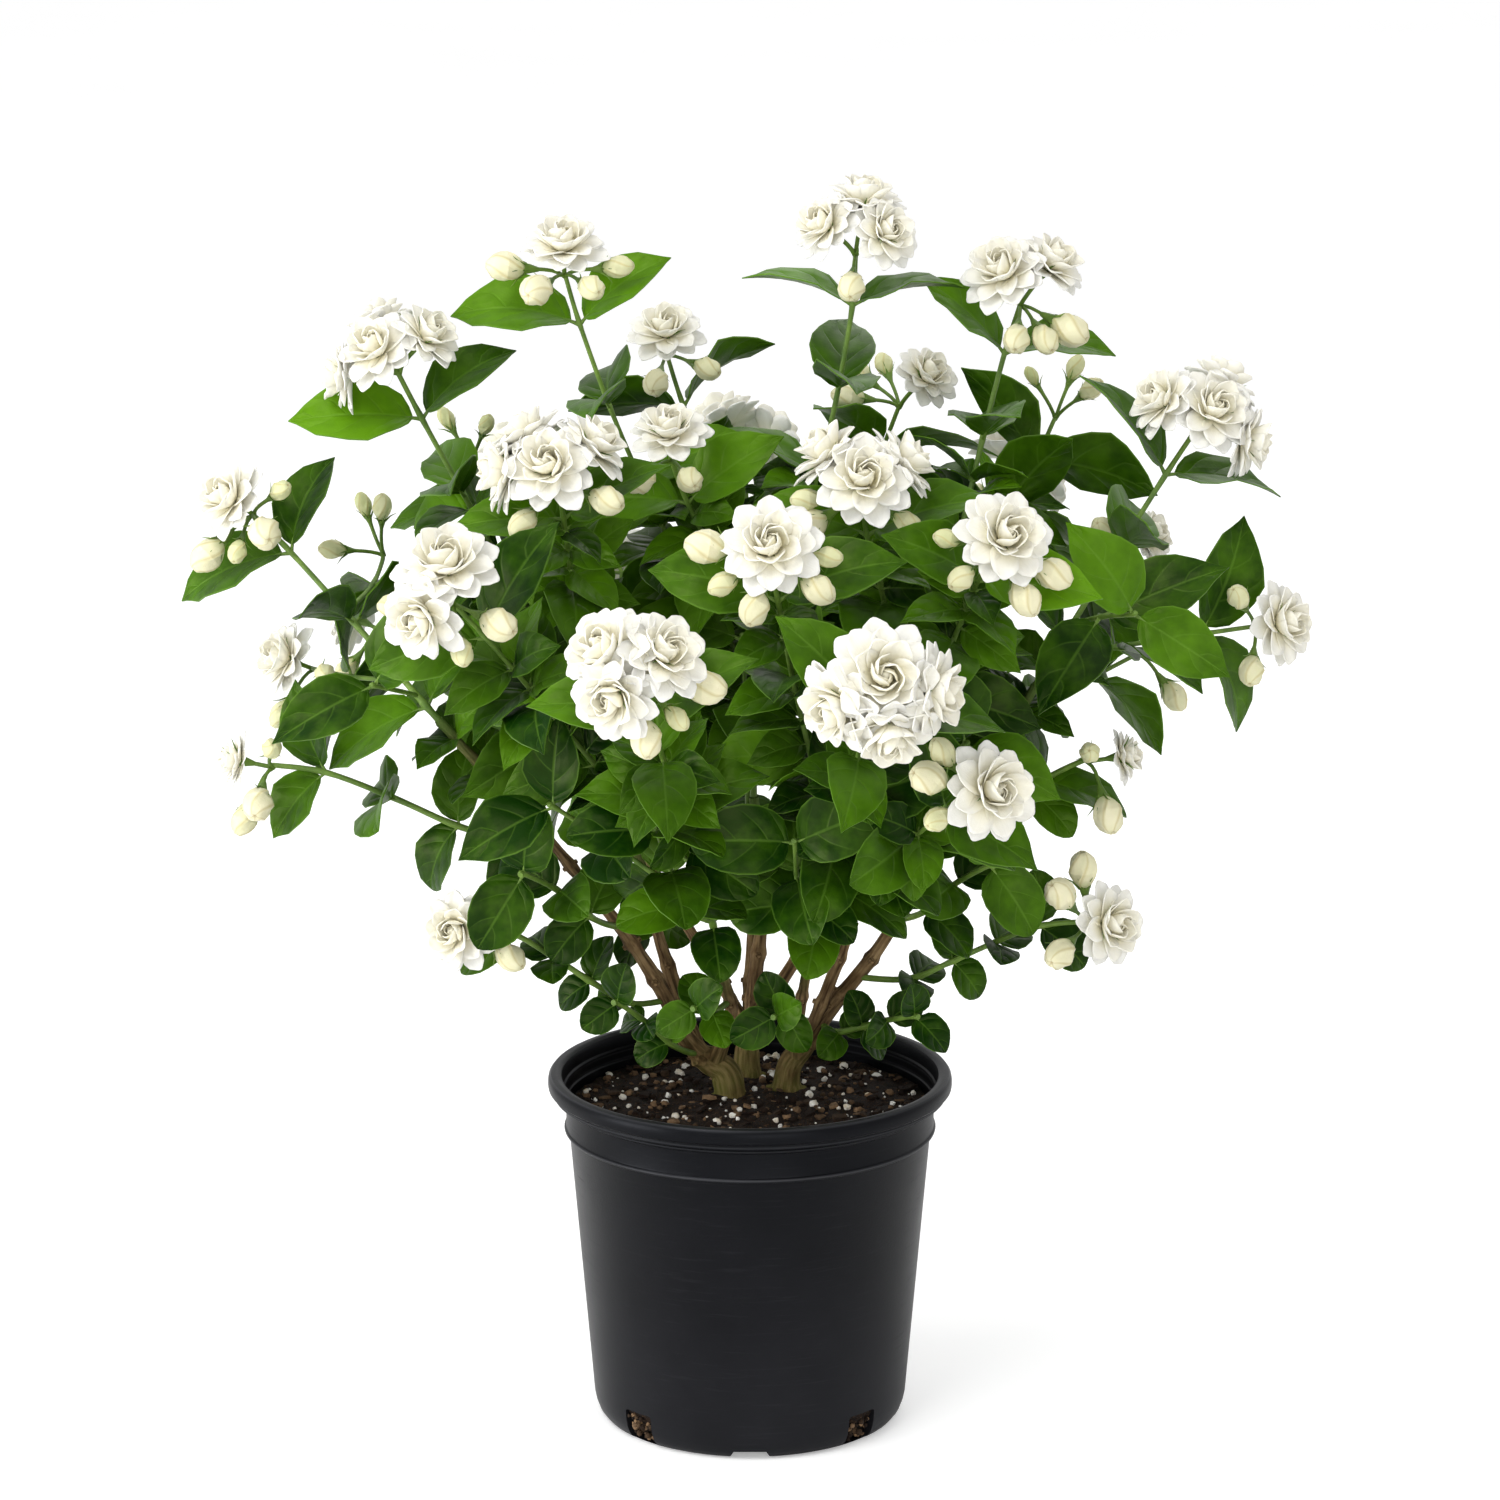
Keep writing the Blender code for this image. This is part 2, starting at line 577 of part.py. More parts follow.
def rosette(radius, origin, way):
    """A bloom: a ball whose rings of points are drawn out into three layers of pointed petals."""
    work = bmesh.new()
    rings = len(BLOOM_PROFILE) - 1
    bmesh.ops.create_uvsphere(work, u_segments=2 * PETALS, v_segments=rings, radius=1.0)
    for vertex in work.verts:
        ring = round(acos(max(-1.0, min(1.0, vertex.co.z))) / pi * rings)
        angle = atan2(vertex.co.y, vertex.co.x)
        column = round(angle / tau * 2 * PETALS)
        tip = (column + ring // 2) % 2 == 0
        reach, rise = BLOOM_PROFILE[ring][0 if tip else 1]
        vertex.co = radius * Vector((reach * cos(angle), rise, reach * sin(angle)))
    placed(work, origin, way, Vector((0, 0, 1)) if abs(way.z) < 0.95 else Vector((0, 1, 0)))
    bmesh.ops.recalc_face_normals(work, faces=work.faces)
    return work


def square(centre, way, side, radius):
    """Four corners round a centre, counter-clockwise about way, with flats that face side."""
    side = (side - way * side.dot(way)).normalized()
    other = way.cross(side)
    angles = [pi / 4 + k * pi / 2 for k in range(4)]
    return [centre + radius * (side * cos(a) + other * sin(a)) for a in angles]


def side_way(ring, k):
    """The way that side k of a stem faces at this ring."""
    other = ring.way.cross(ring.side)
    return (other, -ring.side, -other, ring.side)[k]


def leaf_rings(length, width, arch, origin, run, face, thickness):
    """A leaf blade's two cross-sections, each of two margins and the midrib's two faces, and its tip."""
    up = (face - run * face.dot(run)).normalized()
    across_way = run.cross(up)

    def bent(across, along, lift):
        bend = arch * along
        rise = (length / arch + lift) * cos(bend) - length / arch
        return origin + across_way * across + run * (length / arch + lift) * sin(bend) + up * rise

    rings = []
    for along, spread in ((0.30, 0.96), (0.66, 0.80)):
        half = spread * width / 2
        edge = half * LEAF_FOLD
        rings.append([bent(half, along, edge), bent(0, along, -thickness / 2),
                      bent(-half, along, edge), bent(0, along, thickness / 2)])
    return rings, bent(0, 1.0, 0)


def bud_rings(size, stalk, hub, way):
    """A bud on its stalk: the calyx, two cross-sections of the bud, and its tip."""
    side = Vector((0, 0, 1)) if abs(way.z) < 0.95 else Vector((0, 1, 0))
    stations = ((stalk, 0.0017), (stalk + 0.42 * BUD_LENGTH * size, BUD_RADIUS * size),
                (stalk + 0.80 * BUD_LENGTH * size, 0.72 * BUD_RADIUS * size))
    rings = [square(hub + way * along, way, side, radius) for along, radius in stations]
    return rings, hub + way * (stalk + BUD_LENGTH * size)


def tree_of(rings, tip=None):
    """A search tree of the skin over some rings of four points, with their centre and reach."""
    points = [p for ring in rings for p in ring]
    skin = [(4 * k + i, 4 * k + (i + 1) % 4, 4 * k + 4 + (i + 1) % 4, 4 * k + 4 + i)
            for k in range(len(rings) - 1) for i in range(4)]
    if tip is not None:
        last = 4 * (len(rings) - 1)
        skin += [(last + i, last + (i + 1) % 4, len(points)) for i in range(4)]
        points = points + [tip]
    centre = sum(points, Vector()) / len(points)
    return BVHTree.FromPolygons(points, skin), centre, max((p - centre).length for p in points)


class Bush:
    """Every solid placed so far, so that a new one can be bent clear of them."""

    def __init__(self):
        self.solids = []

    def add_mesh(self, work):
        points = [v.co for v in work.verts]
        centre = sum(points, Vector()) / len(points)
        self.solids.append((BVHTree.FromBMesh(work), centre, max((p - centre).length for p in points)))

    def blocked(self, solid):
        tree, centre, reach = solid
        for other, place, other_reach in self.solids:
            if (place - centre).length < reach + other_reach and tree.overlap(other):
                return True
        return False


def leaf_size(height, index):
    """A leaf's length and width by its height in the bush: long above, small and round at the foot."""
    share = min(1.0, max(0.0, (height - BUSH_FOOT) / (BUSH_TOP - BUSH_FOOT)))
    length = LEAF_LENGTH_FOOT + (LEAF_LENGTH_TOP - LEAF_LENGTH_FOOT) * share
    length *= scatter(index, 0.90, 1.10)
    return length, length * (LEAF_ROUND + (LEAF_SLIM - LEAF_ROUND) * share)


def lay_rings(route, first_radius, last_radius, axis, joins, blooming, skip):
    """A shoot's rings from its tip down, and the bands between them that bear leaves and side shoots."""
    lengths = [0.0]
    for a, b in zip(reversed(route[1:]), reversed(route[:-1])):
        lengths.append(lengths[-1] + (a - b).length)
    total = lengths[-1]
    bands = [(total * (1 - join), 1.6 * TWIG_RADIUS, "join") for join in joins]
    distance = FIRST_LEAF if blooming else LEAF_BAND
    while distance < total - skip - 0.008:
        while any(abs(distance - other) < JOIN_CLEAR for other, _, kind in bands if kind == "join"):
            distance += 0.001
        if distance < total - skip - 0.005:
            bands.append((distance, LEAF_BAND / 2, "leaves"))
        height = route[max(0, len(route) - 1 - sum(length < distance for length in lengths))].z
        distance += LEAF_STEP_LEAST + LEAF_STEP_SHARE * leaf_size(height, 0)[0]
    places = [0.0] + ([HUB_BAND, 2 * HUB_BAND] if blooming else [])
    marks = {}
    for distance, half, kind in sorted(bands):
        marks[len(places)] = (kind, distance)
        places += [distance - half, distance + half]
    places.append(total - skip)
    rings = []
    side = axis.cross(Vector((0, 1, 0)))
    for place in places:
        i = min(len(route) - 2, max(k for k, length in enumerate(lengths[:-1]) if length <= place + 1e-9))
        upper, lower = route[len(route) - 1 - i], route[len(route) - 2 - i]
        way = (upper - lower).normalized()
        side = (side - way * side.dot(way)).normalized()
        point = upper.lerp(lower, (place - lengths[i]) / (lengths[i + 1] - lengths[i]))
        rings.append(Ring(point, way, side, last_radius + (first_radius - last_radius) * place / total))
    return rings, marks


def stand_off(start, way, radius, bark):
    """Moves a side shoot's foot out along way until its whole end is just clear of the bark."""
    end = square(start, way, Vector((0, 0, 1)) if abs(way.z) < 0.95 else Vector((0, 1, 0)), radius)
    end += [(a + b) / 2 for a, b in zip(end, end[1:] + end[:1])] + [start]
    moved = 0.0
    while True:
        clear = True
        for point in end:
            found, normal, _, distance = bark.find_nearest(point + way * moved)
            clear = clear and distance >= GAP and (point + way * moved - found).dot(normal) > 0
        if clear:
            return start + way * moved
        moved += 0.00005


def grow_shoots(routes, barks):
    """Every shoot of every branch: its rings, its hub or tip, and the bands that bear its leaves."""
    shoots = []
    joints = []
    for branch_name, branch in BRANCHES.items():
        limb_route, _ = routes[branch.limb]
        start, way = point_on(limb_route, branch.at)
        if branch.at == 1.0:
            way = (limb_route[-1] - limb_route[-2]).normalized()
            start = limb_route[-1] + way * GAP
        else:
            aim = branch.sprays[0].tip - start
            way = (aim - way * aim.dot(way)).normalized()
            start = stand_off(start, way, SHOOT_RADIUS, barks[LIMBS[branch.limb].trunk])
        leader_number = len(shoots)
        joins = [item.join for item in branch.sprays[1:]]
        for item in branch.sprays:
            blooming = bool(item.centre or item.ring or item.buds)
            axis = heading(item.azimuth, item.elevation)
            hub = item.tip - axis * (HUB_SETBACK if blooming else 0.0)
            if item is branch.sprays[0]:
                foot = start + way * 0.003
                leader = [start, *bow(foot, way * 0.5, hub, (axis + way).normalized() * 0.8, 16)]
                rings, marks = lay_rings(leader, SHOOT_RADIUS, TWIG_RADIUS, axis, joins, blooming, 0.0)
                leader_rings, leader_marks = rings, marks
            else:
                length = sum((a - b).length for a, b in zip(leader[1:], leader[:-1]))
                band = min((k for k, mark in leader_marks.items() if mark[0] == "join"),
                           key=lambda k: abs(leader_marks[k][1] - length * (1 - item.join)))
                origin = (leader_rings[band].point + leader_rings[band + 1].point) / 2
                run = leader_rings[band].way
                towards = (hub - origin).normalized()
                out = (towards - run * towards.dot(run)).normalized()
                leaving = (run * 0.7 + out).normalized() * 0.8
                route = bow(origin, leaving, hub, (axis + towards).normalized() * 0.8, 16)
                rings, marks = lay_rings(route, TWIG_RADIUS, TWIG_RADIUS * 0.9, axis, (), blooming, 0.0055)
                side = max(range(4), key=lambda k: side_way(leader_rings[band], k).dot(out))
                joints.append((leader_number, band, side, len(shoots)))
            pairs = [band for band, mark in sorted(marks.items()) if mark[0] == "leaves"]
            shoots.append(Shoot(branch_name, item, rings, hub, axis, pairs))
    return shoots, joints


def bloom_places(item, hub, axis):
    """Each bloom of a spray, as (radius, the way it faces, the place of its base)."""
    places = []
    if item.centre:
        rise = HUB_SETBACK - 0.5 * item.radius + (0.005 if item.ring else 0)
        places.append((item.radius, axis, hub + axis * rise))
    tilt = 66 if item.centre else 24 + 4 * len(item.ring)
    for clock in item.ring:
        way = clock_way(axis, clock, tilt)
        radius = item.radius * (SIDE_BLOOM_SHARE if places else 1.0)
        places.append((radius, way, hub + way * (SIDE_BLOOM_REACH - 0.5 * radius)))
    return places


def root_of(rings, origin, distance):
    """A small copy of a leaf's first ring at this distance from the stem's middle."""
    middle = sum(rings[0], Vector()) / 4
    foot = origin + (middle - origin).normalized() * distance
    return [foot + (point - middle) * 0.2 for point in rings[0]]


def light_way(place):
    """The way a leaf turns its face: outwards low in the bush, and more to the sky near the top."""
    lift = min(1.0, max(0.0, (place.z - SKYWARD_FROM) / SKYWARD_SPAN))
    out = 0.9 - 0.4 * lift
    return Vector((0, -out if place.y < BACK_START else out, 0.4 + 0.45 * lift))


def place_leaf(shoot, band, pair, turn, index, bend, thickness):
    """One leaf's rings and tip, grown from a band of its shoot and bent as asked."""
    swing, droop, twist, size = bend
    ring, lower = shoot.rings[band], shoot.rings[band + 1]
    middle = (ring.point + lower.point) / 2
    outward = Matrix.Rotation(radians(swing), 3, ring.way) @ side_way(ring, turn)
    length, width = leaf_size(middle.z, index)
    spread = radians(min(100, max(25, 52 + 7 * min(pair, 2) + 8 * scatter(index + 0.5) + droop)))
    run = ring.way * cos(spread) + outward * sin(spread)
    face = ring.way * sin(spread) - outward * cos(spread) + light_way(middle) * LIGHT_SHARE
    face = (face - run * face.dot(run)).normalized()
    face = Matrix.Rotation(radians(twist + 12 * scatter(index + 0.25)), 3, run) @ face
    arch = LEAF_ARCH * scatter(index + 0.75, 0.6, 1.3)
    return middle, *leaf_rings(length * size, width * size, arch, middle, run, face, thickness)


def place_sprouts(shoots, bush):
    """The stalks, buds and leaves that each shoot bears, and the blooms over them."""
    sprouts = []
    blooms = {}
    for shoot in shoots:
        body, centre, reach = tree_of([square(*ring) for ring in shoot.rings])
        bush.solids.append((body, centre, reach))
    for number, shoot in enumerate(shoots):
        item, hub = shoot.spray, shoot.hub
        free = [(band, side) for band in (0, 1) for side in range(4)]
        upright = Vector((0, 0, 1))
        for k, (radius, way, base) in enumerate(bloom_places(item, hub, shoot.axis)):
            bloom = rosette(radius, base, way)
            bush.add_mesh(bloom)
            blooms.setdefault(item.name, []).append(bloom)
            top = base + way * (BLOOM_PROFILE[0][0][1] * radius - GAP)
            side = upright if abs(way.z) < 0.95 else Vector((0, 1, 0))
            rings = [square(top, way, side, CALYX_RADIUS)]
            if item.centre and k == 0:
                sprouts.append(Sprout(number, None, None, rings, None))
            else:
                place = max(free, key=lambda f: side_way(shoot.rings[f[0]], f[1]).dot(way) - 0.1 * f[0])
                free.remove(place)
                sprouts.append(Sprout(number, *place, rings, None))
            stalk = [square(hub + way * 0.004, way, side, CALYX_RADIUS * 0.6), rings[0]]
            bush.solids.append(tree_of(stalk))
        for k, clock in enumerate(item.buds):
            size = scatter(number * 13 + k, 0.72, 1.08) * (1.0 if item.ring or item.centre else 0.75)
            tilt = 78 if item.centre or item.ring else 38
            for shift, lean in BUD_SHIFTS:
                way = clock_way(shoot.axis, clock + shift, tilt + lean)
                rings, tip = bud_rings(size, BUD_STALK, hub, way)
                side = upright if abs(way.z) < 0.95 else Vector((0, 1, 0))
                body = tree_of([square(hub + way * 0.006, way, side, 0.0012), *rings], tip)
                if not bush.blocked(body):
                    place = max(free, key=lambda f: side_way(shoot.rings[f[0]], f[1]).dot(way) - 0.1 * f[0])
                    free.remove(place)
                    sprouts.append(Sprout(number, *place, rings, tip))
                    bush.solids.append(body)
                    break
            else:
                print("no room for a bud:", item.name, clock)
    sites = []
    for number, shoot in enumerate(shoots):
        for pair, band in enumerate(shoot.pairs):
            first = 3 if pair % 2 == 0 else 0
            for side in (first, (first + 2) % 4):
                sites.append((pair, number, band, side, number * 31 + pair * 2 + (side > 1)))
    left_out = 0
    for pair, number, band, side, index in sorted(sites):
        site = (shoots[number], band, pair, side, index)
        for bend in LEAF_BENDS:
            origin, rings, tip = place_leaf(*site, bend, 2 * LEAF_THICKNESS)
            if not bush.blocked(tree_of([root_of(rings, origin, PROBE_START), *rings], tip)):
                bush.solids.append(tree_of([root_of(rings, origin, PROBE_START / 2), *rings], tip))
                origin, rings, tip = place_leaf(*site, bend, LEAF_THICKNESS)
                sprouts.append(Sprout(number, band, side, rings, tip))
                break
        else:
            left_out += 1
    print("leaves", len(sites) - left_out, "left out", left_out)
    return sprouts, blooms


def bridge(work, lower, upper):
    return [work.faces.new((lower[i], lower[(i + 1) % 4], upper[(i + 1) % 4], upper[i])) for i in range(4)]


def in_step(corners, points):
    """The four points in the order that runs with the corners and lies nearest to them."""
    middle, centre = sum(corners, Vector()) / 4, sum(points, Vector()) / 4
    normal = (corners[1] - corners[0]).cross(corners[2] - corners[1])
    if (points[1] - points[0]).cross(points[2] - points[1]).dot(normal) < 0:
        points = points[::-1]
    orders = [points[k:] + points[:k] for k in range(4)]
    return max(orders, key=lambda order: sum((c - middle).normalized().dot((p - centre).normalized())
                                             for c, p in zip(corners, order)))


def sprout_from(work, face, rings, tip):
    """Grows a closed shape out of one face: the rings in turn, and then a tip or a flat end."""
    base = list(face.verts)
    work.faces.remove(face)
    for points in rings:
        upper = [work.verts.new(p) for p in in_step([v.co for v in base], points)]
        bridge(work, base, upper)
        base = upper
    if tip is None:
        work.faces.new(base)
    else:
        top = work.verts.new(tip)
        for i in range(4):
            work.faces.new((base[i], base[(i + 1) % 4], top))


def build_branch(name, shoots, joints, sprouts, collection):
    """One branch as a single skin: the leader, its side shoots, and all that they bear."""
    work = bmesh.new()
    bands = {}
    for number, shoot in enumerate(shoots):
        if shoot.branch != name:
            continue
        loops = [[work.verts.new(p) for p in square(*ring)] for ring in shoot.rings]
        for k, (upper, lower) in enumerate(zip(loops[:-1], loops[1:])):
            for side, face in enumerate(bridge(work, lower, upper)):
                bands[number, k, side] = face
        bands[number, "tip"] = work.faces.new(loops[0])
        joint = [j for j in joints if j[3] == number]
        if joint:
            leader, band, side, _ = joint[0]
            face = bands[leader, band, side]
            base = list(face.verts)
            work.faces.remove(face)
            points = in_step([v.co for v in base], [v.co for v in loops[-1]])
            first = next(k for k in range(4) if loops[-1][k].co == points[0])
            turned_loop = loops[-1][first:] + loops[-1][:first]
            bridge(work, base, turned_loop)
        else:
            work.faces.new(loops[-1][::-1])
    for sprout in sprouts:
        if shoots[sprout.shoot].branch == name:
            key = (sprout.shoot, "tip") if sprout.band is None else (sprout.shoot, sprout.band, sprout.side)
            sprout_from(work, bands[key], sprout.rings, sprout.tip)
    bmesh.ops.triangulate(work, faces=work.faces)
    mesh = bpy.data.meshes.new(name)
    work.to_mesh(mesh)
    work.free()
    return add_object(name, mesh, collection)


def to_object(name, work, collection):
    mesh = bpy.data.meshes.new(name)
    work.to_mesh(mesh)
    work.free()
    return add_object(name, mesh, collection)


def make_bush(routes, collection, fixed):
    """The green branches with their leaves, buds and stalks, and the heads of white blooms."""
    bush = Bush()
    barks = {}
    for obj in fixed:
        work = bmesh.new()
        work.from_mesh(obj.data)
        bush.add_mesh(work)
        barks[obj.name] = bush.solids[-1][0]
        work.free()
    shoots, joints = grow_shoots(routes, barks)
    sprouts, blooms = place_sprouts(shoots, bush)
    branches = [build_branch(name, shoots, joints, sprouts, collection) for name in BRANCHES]
    heads = []
    for name, works in blooms.items():
        parts = [to_object("blooms_" + name, work, collection) for work in works]
        if len(parts) > 1:
            combine(parts[0], parts[1:], "UNION", "MANIFOLD")
        heads.append(parts[0])
    return {"leaf": branches, "petal": heads}


def main():
    clear_scene()
    collection = new_collection("potted_jasmine")
    pot = make_pot(collection)
    soil = make_soil(collection)
    routes = limb_routes()
    trunks = make_trunks(routes, collection)
    made = make_bush(routes, collection, [pot, soil, *trunks])
    made.update({"pot": [pot], "soil": [soil], "wood": trunks})
    for finish, objects in made.items():
        material = new_material(finish)
        for obj in objects:
            obj.data.materials.clear()
            obj.data.materials.append(material)


main()
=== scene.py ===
# %% [markdown]
# A potted jasmine, dressed for the camera.
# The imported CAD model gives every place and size. This lesson keeps its frame and models each visible
# piece again, finely, in the same spot: the pot, the soil, the bark, the shoots, the leaves, the buds
# and the double white blooms. Each chapter says what a piece is on the real plant, how it could be
# made in Blender, and why it is made in the way shown.

# %% Frame
from collections import namedtuple
from math import acos, atan2, cos, exp, pi, radians, sin, tau

import bmesh
import bpy
from mathutils import Matrix, Vector, noise
from mathutils.bvhtree import BVHTree


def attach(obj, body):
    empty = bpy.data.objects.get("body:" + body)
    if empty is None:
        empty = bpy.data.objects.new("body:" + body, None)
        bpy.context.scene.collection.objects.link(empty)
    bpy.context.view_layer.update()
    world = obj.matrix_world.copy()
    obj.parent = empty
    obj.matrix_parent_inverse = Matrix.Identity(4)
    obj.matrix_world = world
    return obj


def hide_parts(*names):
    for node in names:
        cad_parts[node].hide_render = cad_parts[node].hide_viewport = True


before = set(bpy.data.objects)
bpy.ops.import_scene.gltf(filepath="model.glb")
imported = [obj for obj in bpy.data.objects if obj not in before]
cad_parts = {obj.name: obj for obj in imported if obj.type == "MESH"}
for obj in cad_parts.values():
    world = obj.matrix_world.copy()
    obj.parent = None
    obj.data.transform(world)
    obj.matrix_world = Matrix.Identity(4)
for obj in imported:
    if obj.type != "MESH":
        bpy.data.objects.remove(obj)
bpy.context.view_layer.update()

# %% [markdown]
# The camera looks down a little on the rim, so the soil shows as a flat ellipse. The slope was fitted
# to that ellipse, and the distance to the rim's width. The picture doesn't settle the lens, so a long
# one, which is usual for such a picture, is assumed.

# %% Camera
LENS_MM = 120
SENSOR_MM = 36
CAMERA_SLOPE = 13.24
CAMERA_PLACE = (0.0, -2.564, 0.969)

bpy.ops.object.camera_add(location=CAMERA_PLACE, rotation=(radians(90 - CAMERA_SLOPE), 0, 0))
camera = bpy.context.object
camera.name = "camera"
camera.data.lens = LENS_MM
camera.data.sensor_width = SENSOR_MM
bpy.context.scene.camera = camera
print("camera", tuple(round(c, 3) for c in camera.location))

# %% [markdown]
# A studio shot of a plant has a pale sweep below and soft light from all sides, as in a light tent.
# The sky gives most of it here, but not all, because a brighter sky looks flat and its reflection
# greys the dark leaves. Area lights give the form: the key high at the left, a low one at the left for
# the pot's flank, a low wide one in front for the soil and the limbs, and one behind for the petals.

# %% Floor and lights
FLOOR_SIZE = 60
FLOOR_DROP = 0.0004
LIGHT_AIM = Vector((0, 0, 0.36))
SKY_STRENGTH = 0.74
SOFT_BOXES = {
    "key_box": ((-1.0, -1.5, 2.4), 1.3, 28),
    "left_box": ((-2.1, -0.85, 0.55), 1.3, 33),
    "front_box": ((0.5, -2.7, 0.75), 1.8, 18),
    "back_box": ((0.5, 2.0, 2.2), 1.6, 14),
}

scene = bpy.context.scene
scene.view_settings.view_transform = "Standard"
bpy.ops.mesh.primitive_plane_add(size=FLOOR_SIZE, location=(0, 0, -FLOOR_DROP))
floor = bpy.context.object
floor.name = "studio_floor"
scene.world = bpy.data.worlds.new("studio_sky")
scene.world.use_nodes = True
sky = scene.world.node_tree.nodes["Background"]
sky.inputs["Color"].default_value = (1.0, 1.0, 1.0, 1.0)
sky.inputs["Strength"].default_value = SKY_STRENGTH
for name, (place, size, watts) in SOFT_BOXES.items():
    aim = (LIGHT_AIM - Vector(place)).to_track_quat("-Z", "Y")
    bpy.ops.object.light_add(type="AREA", location=place, rotation=aim.to_euler())
    box_light = bpy.context.object
    box_light.name = name
    box_light.data.size = size
    box_light.data.energy = watts
print("soft boxes", len(SOFT_BOXES))

# %% [markdown]
# Modelling in code works like modelling by hand: an object is picked, its points or faces are
# selected by where they are, and an operator acts on the selection. These few helpers do the picking.
# With no window open, the rotate operator turns the other way round, so turn_points gives it the
# angle with its sign changed and always names the centre.

# %% Helpers for picking and moving
WELD = 1e-6


def take(*objects):
    """Selects these objects and nothing else, and makes the first one active."""
    if bpy.context.mode != "OBJECT":
        bpy.ops.object.mode_set(mode="OBJECT")
    bpy.ops.object.select_all(action="DESELECT")
    for obj in objects:
        obj.select_set(True)
    bpy.context.view_layer.objects.active = objects[0]


def start_editing(obj):
    take(obj)
    bpy.ops.object.mode_set(mode="EDIT")
    bpy.ops.mesh.select_mode(type="VERT")
    bpy.ops.mesh.select_all(action="DESELECT")


def stop_editing():
    bpy.ops.object.mode_set(mode="OBJECT")


def pick_all():
    bpy.ops.mesh.select_all(action="SELECT")


def pick(wanted):
    """In edit mode, selects the points whose place passes the test, and the edges and faces between."""
    mesh = bpy.context.object.data
    bpy.ops.mesh.select_all(action="DESELECT")
    work = bmesh.from_edit_mesh(mesh)
    work.verts.ensure_lookup_table()
    chosen = wanted if isinstance(wanted, (list, tuple, set)) else \
        [v.index for v in work.verts if wanted(v.co)]
    for index in chosen:
        work.verts[index].select_set(True)
    work.select_flush(True)
    bmesh.update_edit_mesh(mesh)
    return len(chosen)


def move_points(x=0.0, y=0.0, z=0.0):
    bpy.ops.transform.translate(value=(x, y, z))


def scale_points(x, y, z, centre):
    bpy.ops.transform.resize(value=(x, y, z), center_override=centre)


def turn_points(degrees, axis, centre):
    bpy.ops.transform.rotate(value=-radians(degrees), orient_axis=axis, center_override=centre)


def apply_modifiers(obj):
    take(obj)
    for modifier in list(obj.modifiers):
        bpy.ops.object.modifier_apply(modifier=modifier.name)


def tidy_skin(obj, outwards=True):
    """Merges doubled points and turns every face outwards, unless the faces are right already."""
    start_editing(obj)
    pick_all()
    bpy.ops.mesh.remove_doubles(threshold=WELD)
    if outwards:
        bpy.ops.mesh.normals_make_consistent(inside=False)
    stop_editing()


def smooth(obj, degrees=None):
    """Shades a piece smooth: all over, or only where its faces meet at less than this angle."""
    take(obj)
    if degrees is None:
        bpy.ops.object.shade_smooth()
    else:
        bpy.ops.object.shade_smooth_by_angle(angle=radians(degrees))
    return obj


def copy_of(master, place, **shades):
    """A copy of the master with its own mesh, set in place, with a value on it for each named shade."""
    made = master.copy()
    made.data = master.data.copy()
    made.data.transform(place)
    for name, value in shades.items():
        layer = made.data.attributes.get(name) or made.data.attributes.new(name, "FLOAT", "POINT")
        layer.data.foreach_set("value", [value] * len(made.data.vertices))
    bpy.context.collection.objects.link(made)
    return made


def join(parts):
    take(*parts)
    if len(parts) > 1:
        bpy.ops.object.join()
    return parts[0]


def discard(*objects):
    for obj in objects:
        bpy.data.objects.remove(obj, do_unlink=True)


def settle(piece, name, materials, slot, *nodes):
    """Names a finished piece, puts its place into its mesh, and ties it to the frame."""
    take(piece)
    bpy.ops.object.transform_apply()
    piece.name = piece.data.name = name
    for k, material in enumerate(materials):
        if k < len(piece.data.materials):
            piece.data.materials[k] = material
        else:
            piece.data.materials.append(material)
    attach(piece, "root")
    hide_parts(*nodes)
    return piece


def short_name(node):
    """The node's name without its first word."""
    return node.split("_", 1)[1]


def held(value):
    """The value, held between 0 and 1."""
    return min(1.0, max(0.0, value))


def scatter(index, low=-1.0, high=1.0):
    """A fixed, even-looking draw between low and high for each index."""
    share = (sin(index * 12.9898 + 4.1414) * 43758.5453) % 1.0
    return low + (high - low) * share


# %% [markdown]
# A finish is a small network of nodes. The helper "put" adds one node and fills in its sockets, with
# a plain value or with a link, so that each finish below reads from top to bottom. Every pattern reads
# Object coordinates in metres, or the leaf's or petal's own UV map, so it sits at the real scale and
# stays on the surface from every side.

# %% Helpers for finishes
def put(tree, kind, values=None, **settings):
    made = tree.nodes.new(kind)
    for name, value in settings.items():
        setattr(made, name, value)
    for key, value in (values or {}).items():
        if isinstance(value, bpy.types.NodeSocket):
            tree.links.new(value, made.inputs[key])
        else:
            made.inputs[key].default_value = value
    return made


def maths(tree, operation, first, second=0.0, third=0.0):
    return put(tree, "ShaderNodeMath", {0: first, 1: second, 2: third}, operation=operation).outputs[0]


def times(tree, first, second):
    return maths(tree, "MULTIPLY", first, second)


def remap(tree, value, low, high, new_low=0.0, new_high=1.0):
    return put(tree, "ShaderNodeMapRange", {"Value": value, "From Min": low, "From Max": high,
                                            "To Min": new_low, "To Max": new_high}).outputs[0]


def blend_colours(tree, share, first, second):
    """The first colour where the share is 0, and the second where it is 1."""
    first, second = [(*c, 1.0) if isinstance(c, tuple) else c for c in (first, second)]
    return put(tree, "ShaderNodeMix", {0: share, 6: first, 7: second}, data_type="RGBA").outputs[2]


